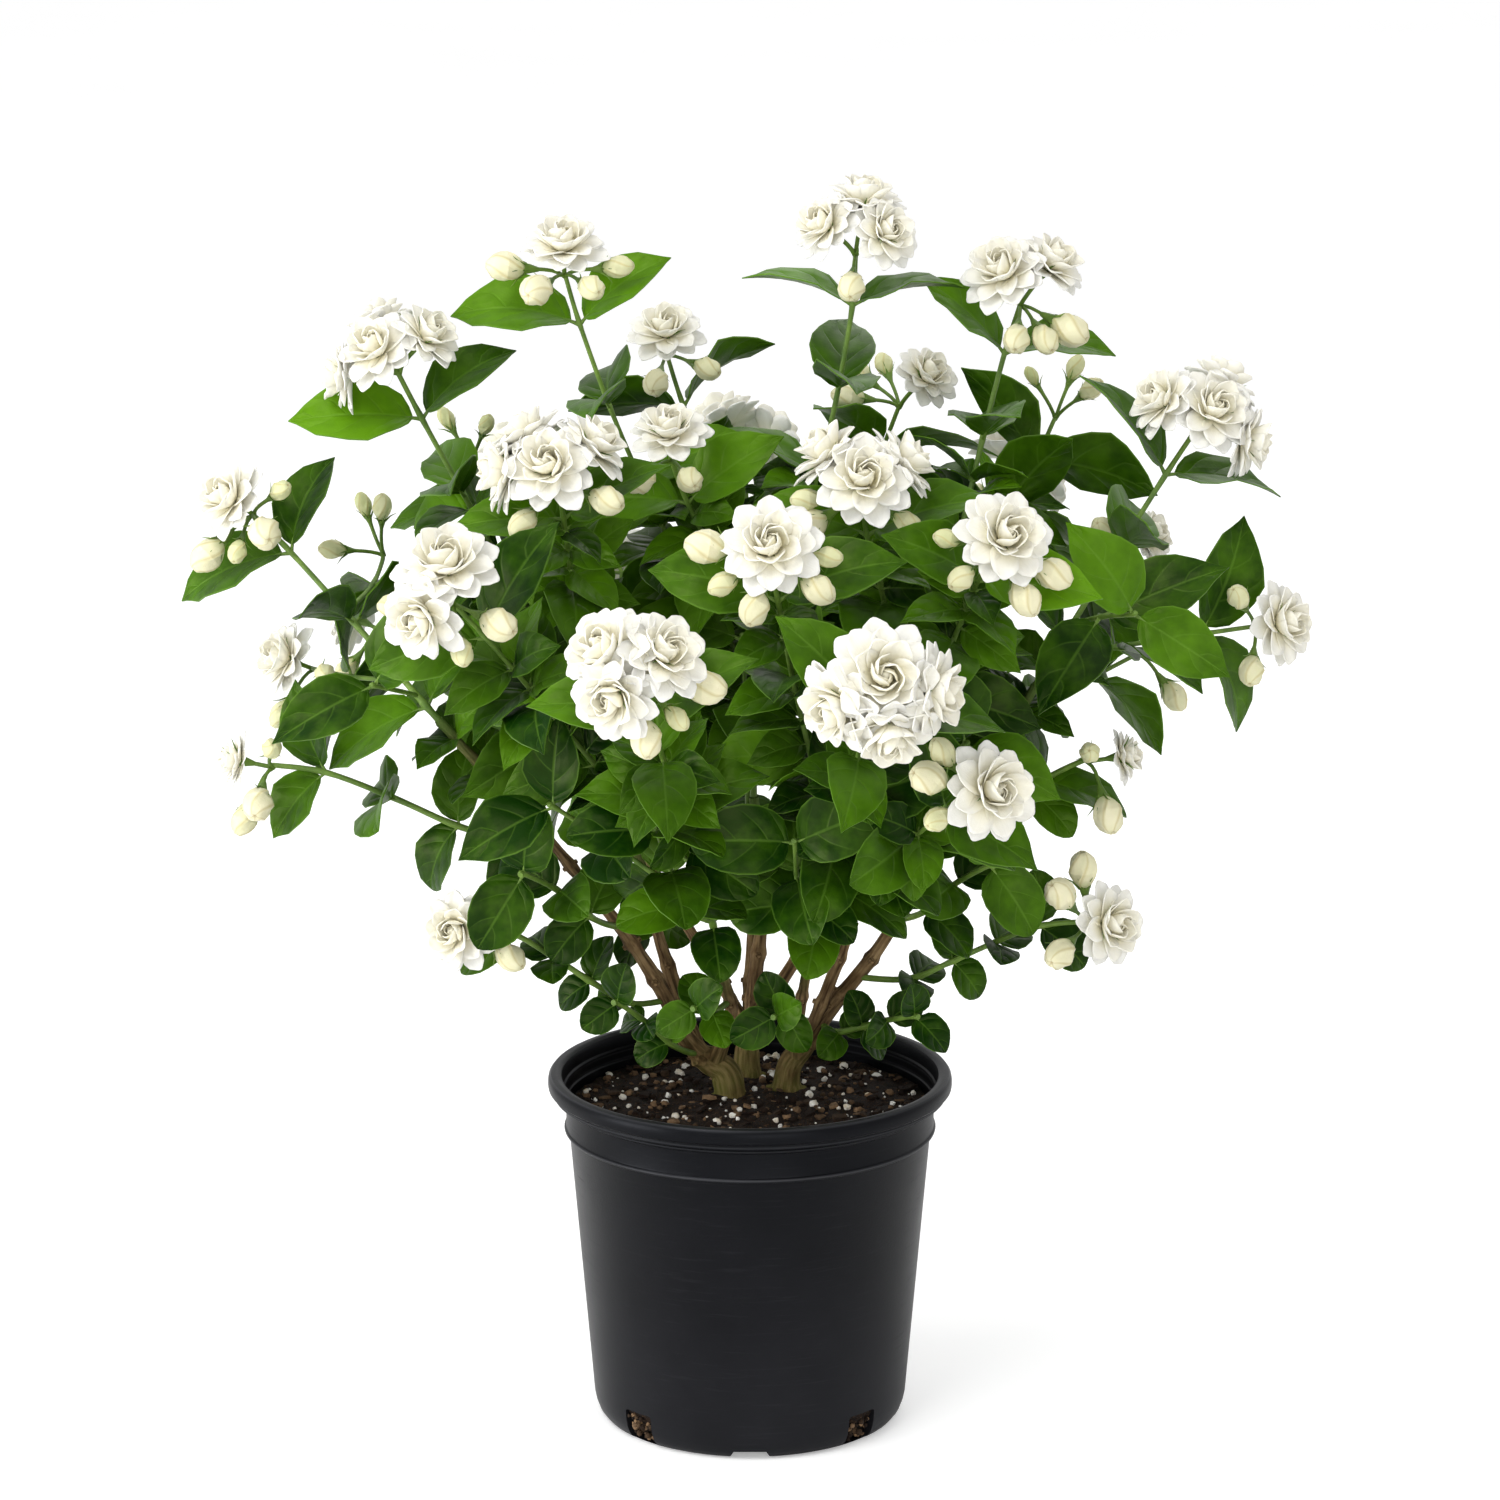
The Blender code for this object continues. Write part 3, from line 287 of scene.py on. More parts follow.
def new_group(name, inputs, outputs):
    """A shader node group with named number sockets, and its two end nodes."""
    tree = bpy.data.node_groups.new(name, "ShaderNodeTree")
    for socket, value in inputs.items():
        kind = "NodeSocketVector" if value is None else "NodeSocketFloat"
        made = tree.interface.new_socket(socket, in_out="INPUT", socket_type=kind)
        if value is not None:
            made.default_value = value
    for socket in outputs:
        tree.interface.new_socket(socket, in_out="OUTPUT", socket_type="NodeSocketFloat")
    return tree, tree.nodes.new("NodeGroupInput").outputs, tree.nodes.new("NodeGroupOutput").inputs


def use_group(tree, group, **values):
    return put(tree, "ShaderNodeGroup", values, node_tree=group).outputs


def new_finish(name, **constants):
    """A material, its tree and its shader, with the plain values set on the shader's own sockets."""
    finish = bpy.data.materials.get(name) or bpy.data.materials.new(name)
    finish.use_nodes = True
    tree = finish.node_tree
    shader = tree.nodes["Principled BSDF"]
    for key, value in constants.items():
        shader.inputs[key.replace("_", " ")].default_value = value
    return finish, tree, shader


def wire(tree, shader, colour, roughness, height=None, strength=0.3, distance=0.001):
    """Links a finish's colour, roughness and relief to its shader."""
    tree.links.new(colour, shader.inputs["Base Color"])
    tree.links.new(roughness, shader.inputs["Roughness"])
    if height is not None:
        bump = put(tree, "ShaderNodeBump", {"Height": height, "Strength": strength, "Distance": distance})
        tree.links.new(bump.outputs[0], shader.inputs["Normal"])


# %% [markdown]
# Plastic, soil, bark and leaf all show two scales of unevenness: soft patches, and a fine grain on
# top of them. One node group gives both as masks, and each finish sets its own scales.

# %% The patches-and-grain group
uneven, uneven_in, uneven_out = new_group(
    "patches_and_grain", {"Place": None, "Patch Scale": 20.0, "Grain Scale": 400.0}, ("Patches", "Grain"))
for socket, scale, detail in (("Patches", "Patch Scale", 3.0), ("Grain", "Grain Scale", 5.0)):
    cloud = put(uneven, "ShaderNodeTexNoise", {"Vector": uneven_in["Place"], "Scale": uneven_in[scale],
                                               "Detail": detail, "Roughness": 0.6})
    uneven.links.new(remap(uneven, cloud.outputs[0], 0.32, 0.68), uneven_out[socket])


def object_place(tree):
    return tree.nodes.new("ShaderNodeTexCoord").outputs["Object"]


def marks_on(tree, patch_scale, grain_scale):
    """The patches and the grain at a finish's own scales."""
    scales = {"Patch Scale": patch_scale, "Grain Scale": grain_scale}
    return use_group(tree, uneven, Place=object_place(tree), **scales)


print("group", uneven.name, "outputs", [s.name for s in uneven_out if s.name])

# %% [markdown]
# The floor is plain and pale, with only a trace of unevenness so that it doesn't look like paper. A
# light-table glow that only the camera sees keeps it white far behind the plant, and leaves the
# plant's own light alone.

# %% Floor finish
floor_finish, tree, shader = new_finish("studio_floor_pale", Emission_Strength=1.0)
marks = marks_on(tree, 1.5, 60.0)
seen = put(tree, "ShaderNodeLightPath").outputs["Is Camera Ray"]
glow = blend_colours(tree, seen, (0.0, 0.0, 0.0), (0.32, 0.32, 0.32))
tree.links.new(glow, shader.inputs["Emission Color"])
wire(tree, shader, blend_colours(tree, marks["Patches"], (0.90, 0.90, 0.90), (0.92, 0.92, 0.92)),
     remap(tree, marks["Grain"], 0, 1, 0.75, 0.85))
floor.data.materials.append(floor_finish)

# %% [markdown]
# The pot is a thin injection-moulded nursery pot: a rounded foot, a tapering wall, a slightly wider
# collar band with a fine bead at each edge, and a rolled rim. Turned forms like this can be made by
# spinning a profile, by a Screw modifier, or by extruding a disc upwards and resizing it at each
# step. The last way is shown: the disc goes up the outside, over the rim and down the inside, so the
# pot is one closed skin with a real wall. The profile is in tenths of a millimetre: radius, height.

# %% Pot wall
POT_SIDES = 128
PROFILE_TENTHS = (
    (770, 0), (797, 12), (819, 40), (834, 80), (842, 120), (846, 170), (851, 230), (967, 1574),
    (971, 1580), (987, 1585), (993, 1591), (995, 1599), (992, 1606), (986, 1611), (984, 1620),
    (985, 1742), (993, 1746), (998, 1753), (998, 1761), (992, 1768), (991, 1774), (1020, 1776),
    (1044, 1780), (1052, 1786), (1054, 1795), (1052, 1804), (1056, 1811), (1070, 1815), (1078, 1822),
    (1080, 1834), (1080, 1860), (1076, 1880), (1064, 1895), (1045, 1900), (1024, 1897), (1009, 1887),
    (1002, 1870), (997, 1818), (989, 1808), (984, 1750), (977, 1742), (973, 1690), (962, 1600),
    (829, 170), (753, 17),
)


def raise_rings(profile):
    """Extrudes the picked disc from one (radius, height) of a profile to the next."""
    for (last_radius, last_height), (radius, height) in zip(profile, profile[1:]):
        bpy.ops.mesh.extrude_region_move(TRANSFORM_OT_translate={"value": (0, 0, height - last_height)})
        scale_points(radius / last_radius, radius / last_radius, 1, (0, 0, height))


pot_profile = [(radius / 10000, height / 10000) for radius, height in PROFILE_TENTHS]
bpy.ops.mesh.primitive_circle_add(vertices=POT_SIDES, radius=pot_profile[0][0], fill_type="NGON")
pot = bpy.context.object
bpy.ops.object.mode_set(mode="EDIT")
raise_rings(pot_profile)
stop_editing()
tidy_skin(pot)
print("pot wall rings", len(pot_profile), "faces", len(pot.data.polygons))

# %% [markdown]
# At the foot the mould leaves four small windows for drainage, and four shallow arches in the bottom
# edge. Openings could be planned into the mesh, but a Boolean with a shaped cutter keeps the wall's
# even rings. The cutter for a window is a box with its four long edges rounded. The one for an arch
# is a box that narrows upwards, and a block is first added inside the wall there, so that the arch
# is a recess with a closed back and not a hole.

# %% Drain windows and foot arches
WINDOW_PLACE, WINDOW_SIZE = (0, -0.0845, 0.0093), (0.0190, 0.030, 0.0175)
WINDOW_ROUND = 0.0016
ARCH_PLACE, ARCH_SIZE = (0, -0.0800, 0.0), (0.026, 0.020, 0.0095)
ARCH_NARROWING = 0.66
BACKING_PLACE, BACKING_SIZE = (0, -0.0721, 0.0045), (0.034, 0.0110, 0.0066)


def box_at(place, size):
    bpy.ops.mesh.primitive_cube_add(size=1, location=place, scale=size)
    bpy.ops.object.transform_apply()
    return bpy.context.object


def cut_or_add(obj, tool, operation):
    change = obj.modifiers.new("opening", "BOOLEAN")
    change.operation = operation
    change.object = tool
    change.solver = "EXACT"
    apply_modifiers(obj)
    discard(tool)


def four_round(master, first_turn):
    parts = [copy_of(master, Matrix.Rotation(first_turn + k * tau / 4, 4, "Z")) for k in range(4)]
    discard(master)
    return join(parts)


window = box_at(WINDOW_PLACE, WINDOW_SIZE)
start_editing(window)
bpy.ops.mesh.select_mode(type="EDGE")
work = bmesh.from_edit_mesh(window.data)
for edge in work.edges:
    edge.select_set(abs(edge.verts[0].co.y - edge.verts[1].co.y) > 0.01)
bmesh.update_edit_mesh(window.data)
bpy.ops.mesh.bevel(offset=WINDOW_ROUND, segments=4, affect="EDGES")
stop_editing()

arch = box_at(ARCH_PLACE, ARCH_SIZE)
start_editing(arch)
pick(lambda co: co.z > 0)
scale_points(ARCH_NARROWING, 1, 1, (0, 0, 0.005))
stop_editing()
backing = box_at(BACKING_PLACE, BACKING_SIZE)

cut_or_add(pot, four_round(backing, 0), "UNION")
cut_or_add(pot, four_round(window, tau / 8), "DIFFERENCE")
cut_or_add(pot, four_round(arch, 0), "DIFFERENCE")
smooth(pot, 32)
print("pot with openings, faces", len(pot.data.polygons))

# %% [markdown]
# The plastic is nearly black with a cold tint and a satin gloss. Real pots are never even: the gloss
# changes in soft patches, fine scuffs run round the wall, and the beads and the rim's edge are paler:
# partly wear where they rub against other pots, and partly a painted highlight along each of them.
# These paler bands are found by their heights.

# %% Pot finish
# Heights of the paler bands: rubbed wear, and a painted highlight on each bead and on the rim's edge.
WORN_AND_HIGHLIT_BANDS = ((0.1599, 0.0009, 0.45), (0.1757, 0.0008, 0.18),
                  (0.1795, 0.0007, 0.25), (0.1893, 0.0010, 0.30))

pot_finish, tree, shader = new_finish("pot_black_plastic", Specular_IOR_Level=0.11,
                                     Specular_Tint=(0.86, 0.90, 1.0, 1.0))
place = object_place(tree)
marks = marks_on(tree, 14.0, 900.0)
stretched = put(tree, "ShaderNodeMapping", {"Vector": place, "Scale": (40.0, 40.0, 900.0)}).outputs[0]
scuffs = put(tree, "ShaderNodeTexNoise", {"Vector": stretched, "Scale": 1.0, "Detail": 4.0}).outputs[0]
scuffs = remap(tree, scuffs, 0.58, 0.82)
height = put(tree, "ShaderNodeSeparateXYZ", {0: place}).outputs["Z"]
# Paler bands round the beads and the rim's edge: part wear, part painted highlight.
worn_and_highlit = 0.0
for level, reach, share in WORN_AND_HIGHLIT_BANDS:
    off = maths(tree, "ABSOLUTE", maths(tree, "SUBTRACT", height, level))
    worn_and_highlit = maths(tree, "MAXIMUM", worn_and_highlit, remap(tree, off, reach, 0.0, 0.0, share))
worn_and_highlit = times(tree, worn_and_highlit, remap(tree, marks["Patches"], 0, 1, 0.6, 1.0))
colour = blend_colours(tree, marks["Patches"], (0.0016, 0.0017, 0.0022), (0.0034, 0.0035, 0.0045))
# Paler towards the foot: partly dust, and partly painted shade that keeps the upper wall darker under the
# collar.
dust_and_shade_patches = remap(tree, marks["Patches"], 0, 1, 0.75, 1.0)
dust_and_shade = times(tree, remap(tree, height, 0.150, 0.010), dust_and_shade_patches)
colour = blend_colours(tree, times(tree, dust_and_shade, 0.11), colour, (0.085, 0.085, 0.095))
colour = blend_colours(tree, times(tree, scuffs, 0.12), colour, (0.050, 0.051, 0.056))
# The painted highlight and the wear are mixed into the colour here.
colour = blend_colours(tree, worn_and_highlit, colour, (0.100, 0.102, 0.110))
gloss = maths(tree, "ADD", remap(tree, marks["Patches"], 0, 1, 0.31, 0.39),
              times(tree, scuffs, 0.10))
wire(tree, shader, colour, gloss, marks["Grain"], 0.10, 0.0002)
settle(pot, "pot_moulded", [pot_finish], "pot", "pot")

# %% [markdown]
# The pot is filled with a dark peat mix that fell in loosely and was watered: a low mound with small
# hollows. A disc is extruded up the inside of the pot and then inwards in many rings, which gives the
# top enough points, and those are moved up and down like a sculptor's pass with a fixed noise.

# %% Soil
GAP = 0.0003
RIM_MOUTH_RADIUS = 0.1003
SOIL_EDGE_RADIUS = 0.0965
SOIL_EDGE_HEIGHT = 0.1705
SOIL_CROWN_HEIGHT = 0.1745
SOIL_ROUGHNESS = 0.0009
SOIL_SIDE = ((0.0750, 0.0020), (0.0825, 0.0165), (0.0958, 0.1600), (SOIL_EDGE_RADIUS, SOIL_EDGE_HEIGHT))
SOIL_RINGS = 26
SOIL_SIDES = 96
SOIL_TOP_FROM = 0.165
CLOD_HEIGHT = 0.0013
CLODS_PER_METRE = 130


def soil_height(x, y):
    """The soil's surface: a low mound with uneven ground."""
    reach = min(1.0, (x * x + y * y) ** 0.5 / RIM_MOUTH_RADIUS)
    rough = sin(x * 310 + 1.3) * cos(y * 270 - 0.4) + 0.6 * sin(x * 140 - y * 190)
    return SOIL_CROWN_HEIGHT + (SOIL_EDGE_HEIGHT - SOIL_CROWN_HEIGHT) * reach + SOIL_ROUGHNESS * rough


def loose_height(x, y):
    clods = noise.fractal(Vector((x, y, 0.3)) * CLODS_PER_METRE, 1.0, 2.0, 4)
    return soil_height(x, y) + CLOD_HEIGHT * clods


bpy.ops.mesh.primitive_circle_add(vertices=SOIL_SIDES, radius=SOIL_SIDE[0][0], fill_type="NGON",
                                  location=(0, 0, SOIL_SIDE[0][1]))
soil = bpy.context.object
bpy.ops.object.transform_apply()
bpy.ops.object.mode_set(mode="EDIT")
rings = [(SOIL_EDGE_RADIUS * (1 - k / SOIL_RINGS), SOIL_EDGE_HEIGHT) for k in range(1, SOIL_RINGS)]
raise_rings([*SOIL_SIDE, *rings])
bpy.ops.mesh.merge(type="CENTER")
stop_editing()
tidy_skin(soil)
for point in soil.data.vertices:
    if point.co.z > SOIL_TOP_FROM:
        point.co.z = loose_height(point.co.x, point.co.y)
smooth(soil)
print("soil faces", len(soil.data.polygons))

# %% [markdown]
# Trunks, limbs, shoots and stalks are all tubes along a line. A curve with a round bevel and its own
# radius at each point is the quickest tube, and one curve object can hold many lines. It is turned
# into a mesh, and the points of the end caps are merged on, so every tube is closed.

# %% Lines and tubes
def through_points(points, count):
    """Evenly spread points on a smooth curve through the given ones."""
    ends = [2 * points[0] - points[1], *points, 2 * points[-1] - points[-2]]
    route = []
    for k in range(count):
        place = k / (count - 1) * (len(points) - 1)
        i = min(int(place), len(points) - 2)
        t = place - i
        a, b, c, d = ends[i:i + 4]
        curve = (2 * a - 5 * b + 4 * c - d) * t * t + (3 * b - a - 3 * c + d) * t ** 3
        route.append(0.5 * (2 * b + (c - a) * t + curve))
    return route


def bow(start, start_way, end, end_way, count):
    """Points on a smooth bow that leaves start one way and reaches end the other way."""
    reach = (end - start).length
    route = []
    for k in range(count):
        t = k / (count - 1)
        route.append(start * (2 * t ** 3 - 3 * t ** 2 + 1) + start_way * reach * (t ** 3 - 2 * t ** 2 + t)
                     + end * (3 * t ** 2 - 2 * t ** 3) + end_way * reach * (t ** 3 - t ** 2))
    return route


def point_on(route, share):
    """The point at this share of a route's points, and the way the route runs there."""
    place = min(max(share, 0.0), 0.9999) * (len(route) - 1)
    i = int(place)
    way = (route[i + 1] - route[i]).normalized()
    return route[i].lerp(route[i + 1], place - i), way


def line_length(points):
    return sum((b - a).length for a, b in zip(points, points[1:]))


def square_to(way, face):
    """The face, turned as little as it takes to stand square to the way."""
    return (face - way * face.dot(way)).normalized()


def tubes(lines, roundness):
    """One closed mesh of round tubes, one for each line of (points, radii)."""
    curve = bpy.data.curves.new("line", "CURVE")
    curve.dimensions = "3D"
    curve.bevel_depth = 1.0
    curve.bevel_resolution = roundness
    curve.use_fill_caps = True
    for route, radii in lines:
        spline = curve.splines.new("POLY")
        spline.points.add(len(route) - 1)
        for point, place, radius in zip(spline.points, route, radii):
            point.co = (*place, 1.0)
            point.radius = radius
    made = bpy.data.objects.new("line", curve)
    bpy.context.collection.objects.link(made)
    take(made)
    bpy.ops.object.convert(target="MESH")
    made = bpy.context.object
    tidy_skin(made, outwards=False)
    return made


# %% [markdown]
# Three woody trunks stand in the soil and fork into ten limbs. Their routes are the same lines as in
# the CAD source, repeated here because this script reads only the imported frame.

# %% Routes of the limbs
SOIL_CLEAR_HEIGHT = 0.181
TRUNK_DEPTH = 0.040
TRUNKS = {
    "trunk_left": (Vector((-0.012, 0.012, 0)), 0.0085),
    "trunk_middle": (Vector((-0.002, 0.050, 0)), 0.0068),
    "trunk_right": (Vector((0.020, 0.020, 0)), 0.0072),
}
Limb = namedtuple("Limb", "trunk start route end_radius")


def metres(point):
    return Vector([c / 1000 for c in point])


def limb_row(trunk, start, end_radius, *route):
    """A limb from its row, where lengths are in millimetres."""
    return Limb(trunk, start, [metres(point) for point in route], end_radius / 1000)


LIMBS = {
    "left": limb_row("trunk_left", 0.0, 2.4, (-34, 10, 204), (-52, 4, 242), (-92, -10, 302),
                     (-162, -30, 389)),
    "upper_left": limb_row("trunk_left", 0.16, 2.3, (-44, 20, 242), (-54, 26, 278), (-64, 26, 318)),
    "front_left": limb_row("trunk_left", 0.08, 2.3, (-10, -6, 222), (-14, -26, 250), (-18, -44, 276)),
    "top": limb_row("trunk_middle", 0.0, 2.6, (2, 48, 215), (6, 46, 270), (2, 42, 330)),
    "back_left": limb_row("trunk_middle", 0.14, 2.3, (-26, 74, 236), (-52, 98, 272), (-72, 116, 302)),
    "back": limb_row("trunk_middle", 0.10, 2.3, (0, 78, 230), (2, 98, 256), (0, 118, 284)),
    "back_right": limb_row("trunk_middle", 0.18, 2.3, (32, 76, 240), (56, 98, 276), (78, 116, 308)),
    "right": limb_row("trunk_right", 0.0, 2.4, (38, 18, 212), (64, 18, 246), (92, 10, 294), (150, 2, 400)),
    "upper_right": limb_row("trunk_right", 0.12, 2.3, (46, 10, 244), (58, 0, 284), (74, -10, 330)),
    "front_right": limb_row("trunk_right", 0.06, 2.3, (26, -4, 222), (30, -26, 252), (34, -46, 280)),
}


def limb_routes():
    """Each limb's points and radii, from inside its trunk, or from its foot, to its end."""
    routes = {}
    for name, limb in LIMBS.items():
        foot, foot_radius = TRUNKS[limb.trunk]
        if limb.start == 0.0:
            rise = foot + Vector((0, 0, SOIL_CLEAR_HEIGHT))
            bottom = foot + Vector((0, 0, SOIL_CROWN_HEIGHT - TRUNK_DEPTH))
            route = [bottom, *through_points([rise, *limb.route], 8)]
            first = name
        else:
            main_route, _ = routes[first]
            start, _ = point_on(main_route, limb.start + 1 / (len(main_route) - 1))
            route = through_points([start, *limb.route], 6)
        last = len(route) - 1
        top_radius = foot_radius if limb.start == 0.0 else 0.55 * foot_radius
        spare = top_radius - limb.end_radius
        radii = [limb.end_radius + spare * (1 - k / last) ** 1.6 for k in range(last + 1)]
        if limb.start == 0.0:
            radii[0] = radii[1] = foot_radius
        routes[name] = (route, radii)
    return routes


routes = limb_routes()
print("limbs", len(routes), "longest", round(max(line_length(r) for r, _ in routes.values()), 3), "m")

# %% [markdown]
# Old jasmine wood isn't a smooth pipe: it swells at each knot where a pair of leaves once grew, and
# its bark splits into long shallow ridges. The knots are set in the tube's radii, a small stub is
# added on both sides of each, and the ridges come from moving the bark's points in and out by a noise
# that is stretched along the limb. A value called "youth" runs from 0 on old bark to 1 at the green end.
# Blender seeds its noise vectors from the clock, so a fixed seed is set first, and the limbs sway the
# same way in every run.

# %% Trunks and limbs
BARK_STEP = 0.0022
KNOT_STEP = 0.027
KNOT_SWELL = 0.26
KNOT_HALF = 0.0030
FIRST_KNOT = 0.010
RIDGE_DEPTH = 0.060
YOUTH_LENGTH = 0.055
SWAY = 0.0007
SWAY_SEED = 7


def youth_at(place, tip):
    """0 on old bark, rising to 1 at the limb's green tip."""
    return held(1 - (tip - place).length / YOUTH_LENGTH)


def limb_line(name):
    """A fine route and radii for a limb, with knots, and the places of its stubs."""
    route, radii = routes[name]
    length = line_length(route)
    count = int(length / BARK_STEP)
    fine = through_points(route, count)
    steps = len(route) - 1
    widths, stubs = [], []
    travelled, next_knot = 0.0, FIRST_KNOT + KNOT_STEP * scatter(len(name), 0.5, 1.0)
    marks = []
    for k in range(1, count):
        travelled += (fine[k] - fine[k - 1]).length
        if travelled > next_knot and travelled < length - 0.008:
            marks.append(k)
            next_knot += KNOT_STEP * scatter(k + len(name), 0.75, 1.25)
    for k, place in enumerate(fine):
        along = k / (count - 1) * steps
        i = min(int(along), steps - 1)
        radius = radii[i] + (radii[i + 1] - radii[i]) * (along - i)
        swell = sum(exp(-((k - m) * BARK_STEP / KNOT_HALF) ** 2) for m in marks)
        sway = noise.noise_vector(place * 38) * SWAY
        if 0 < k < count - 1:
            fine[k] = place + sway * min(1.0, (count - 1 - k) * 0.2)
        widths.append(radius * (1 + KNOT_SWELL * swell) * (1 + 0.05 * noise.noise(place * 90)))
    for number, k in enumerate(marks):
        way = (fine[k] - fine[k - 1]).normalized()
        across = way.cross(Vector((1, 0, 0) if number % 2 else (0, 1, 0))).normalized()
        for face in (across, -across):
            stubs.append((fine[k] + face * widths[k] * 0.86, face, widths[k] * 0.42))
    return fine, widths, stubs


def carried_sides(fine):
    """A side for each point of a line, carried along it without turning round it."""
    side = (fine[1] - fine[0]).normalized().orthogonal()
    sides = []
    for k in range(len(fine)):
        way = (fine[min(k + 1, len(fine) - 1)] - fine[max(k - 1, 0)]).normalized()
        side = square_to(way, side)
        sides.append((side, way.cross(side)))
    return sides


def bark_stub():
    """A short blunt stub with a hollow top, where a leaf or side shoot came off."""
    bpy.ops.mesh.primitive_cylinder_add(vertices=8, radius=1.0, depth=1.2, location=(0, 0, 0.2))
    stub = bpy.context.object
    bpy.ops.object.transform_apply()
    start_editing(stub)
    pick(lambda co: co.z > 0.5)
    scale_points(0.72, 0.72, 1, (0, 0, 0.8))
    bpy.ops.mesh.select_mode(type="FACE")
    bpy.ops.mesh.inset(thickness=0.18)
    move_points(z=-0.22)
    stop_editing()
    grain = stub.data.attributes.new("bark_place", "FLOAT_VECTOR", "POINT")
    for point in stub.data.vertices:
        grain.data[point.index].vector = point.co * 0.002
    return stub


def stand(way, side=Vector((0, 0, 1))):
    """The turn that takes +Z to this way, with X as near as it can be to a side."""
    across = side.cross(way)
    if across.length < 0.05:
        across = Vector((0, 1, 0)).cross(way)
    across.normalize()
    return Matrix((across, way.cross(across), way)).transposed().to_4x4()


def bark_of(trunk):
    """All limbs of one trunk as one piece, with ridged bark."""
    stub = bark_stub()
    parts = []
    for name, limb in LIMBS.items():
        if limb.trunk != trunk:
            continue
        fine, widths, stubs = limb_line(name)
        bark = tubes([(fine, widths)], 6)
        bark.data.attributes.new("youth", "FLOAT", "POINT")
        bark.data.attributes.new("bark_place", "FLOAT_VECTOR", "POINT")
        youth, grain = bark.data.attributes["youth"], bark.data.attributes["bark_place"]
        tip, sides = fine[-1], carried_sides(fine)
        for point in bark.data.vertices:
            nearest = min(range(len(fine)), key=lambda k: (fine[k] - point.co).length_squared)
            out = point.co - fine[nearest]
            side, other = sides[nearest]
            spot = Vector((out.dot(side), out.dot(other), nearest * BARK_STEP + 0.3 * len(name)))
            ridge = noise.fractal(Vector((spot.x * 420, spot.y * 420, spot.z * 50)), 1.0, 2.0, 3)
            share = youth_at(point.co, tip)
            point.co += out * RIDGE_DEPTH * ridge * (1 - share)
            youth.data[point.index].value = share
            grain.data[point.index].vector = spot
        parts.append(bark)
        for place, way, size in stubs:
            turn = Matrix.Translation(place) @ stand(way) @ Matrix.Diagonal((size, size, size, 1))
            parts.append(copy_of(stub, turn, youth=youth_at(place, tip)))
    discard(stub)
    return smooth(join(parts), 50)


noise.seed_set(SWAY_SEED)
barks = {trunk: bark_of(trunk) for trunk in TRUNKS}
print("bark faces", {name: len(piece.data.polygons) for name, piece in barks.items()})

# %% [markdown]
# Bark is tan with dark splits, green with moss near the damp soil, and it turns green again where the
# wood is young. The splits are a noise that is stretched upwards, and the moss is a mask of height
# broken up by patches.

# %% Bark finish
bark_finish, tree, shader = new_finish("bark_tan", Specular_IOR_Level=0.12)
place = object_place(tree)
marks = marks_on(tree, 70.0, 800.0)
along_limb = put(tree, "ShaderNodeAttribute", attribute_name="bark_place").outputs["Vector"]
stretched = put(tree, "ShaderNodeMapping", {"Vector": along_limb, "Scale": (520.0, 520.0, 45.0)}).outputs[0]
splits = put(tree, "ShaderNodeTexNoise", {"Vector": stretched, "Scale": 1.0, "Detail": 4.0}).outputs[0]
splits = remap(tree, splits, 0.36, 0.62)
colour = blend_colours(tree, marks["Patches"], (0.205, 0.124, 0.054), (0.390, 0.262, 0.132))
colour = blend_colours(tree, splits, (0.066, 0.036, 0.016), colour)
height = put(tree, "ShaderNodeSeparateXYZ", {0: place}).outputs["Z"]
mossy = remap(tree, marks["Patches"], 0.0, 0.8, 0.35, 1.0)
moss = times(tree, remap(tree, height, 0.212, 0.178), mossy)
colour = blend_colours(tree, times(tree, moss, 0.75), colour, (0.115, 0.125, 0.022))
youth = put(tree, "ShaderNodeAttribute", attribute_name="youth").outputs["Fac"]
colour = blend_colours(tree, youth, colour, (0.095, 0.160, 0.035))
rough = remap(tree, marks["Grain"], 0, 1, 0.70, 0.95)
relief = maths(tree, "ADD", splits, times(tree, marks["Grain"], 0.35))
wire(tree, shader, colour, rough, relief, 0.55, 0.0006)
for trunk, piece in barks.items():
    settle(piece, "bark_" + short_name(trunk), [bark_finish], "wood", trunk)
print("bark pieces", len(barks))

# %% [markdown]
# Potting mix is a crowd of small things: dark crumbs, flat chips of reddish bark, and white perlite,
# which is puffed volcanic glass. Each kind is modelled once or a few times, from a ball or a box that
# is squashed and roughened with a fixed seed, and then copied over the mound at a sunflower's spacing,
# which spreads points evenly without a grid. A ball of twenty to eighty faces is enough at 3 mm.

# %% Crumbs, chips and perlite
TURN_OF_A_SUNFLOWER = 2.39996
SOIL_REACH = 0.0945
SOIL_INSIDE = 0.0960
WINDOW_HALF_ANGLE = 0.088


def pebble(detail, roughness, seed, flat=1.0):
    bpy.ops.mesh.primitive_ico_sphere_add(subdivisions=detail, radius=1.0)
    made = bpy.context.object
    start_editing(made)
    pick_all()
    bpy.ops.transform.vertex_random(offset=roughness, seed=seed)
    scale_points(1.0, 0.85, flat, (0, 0, 0))
    stop_editing()
    return smooth(made)


def chip(seed):
    """A splinter of bark: a box drawn out, tapered at one end and roughened."""
    made = box_at((0, 0, 0), (2.0, 1.2, 0.36))
    start_editing(made)
    pick_all()
    bpy.ops.mesh.subdivide(number_cuts=1)
    pick(lambda co: co.x > 0.5)
    scale_points(1, 0.55, 0.6, (1, 0, 0))
    pick_all()
    bpy.ops.transform.vertex_random(offset=0.12, seed=seed)
    stop_editing()
    return made


def near_trunk(x, y):
    return min((Vector((x, y, 0)) - foot).length - radius for foot, radius in TRUNKS.values())


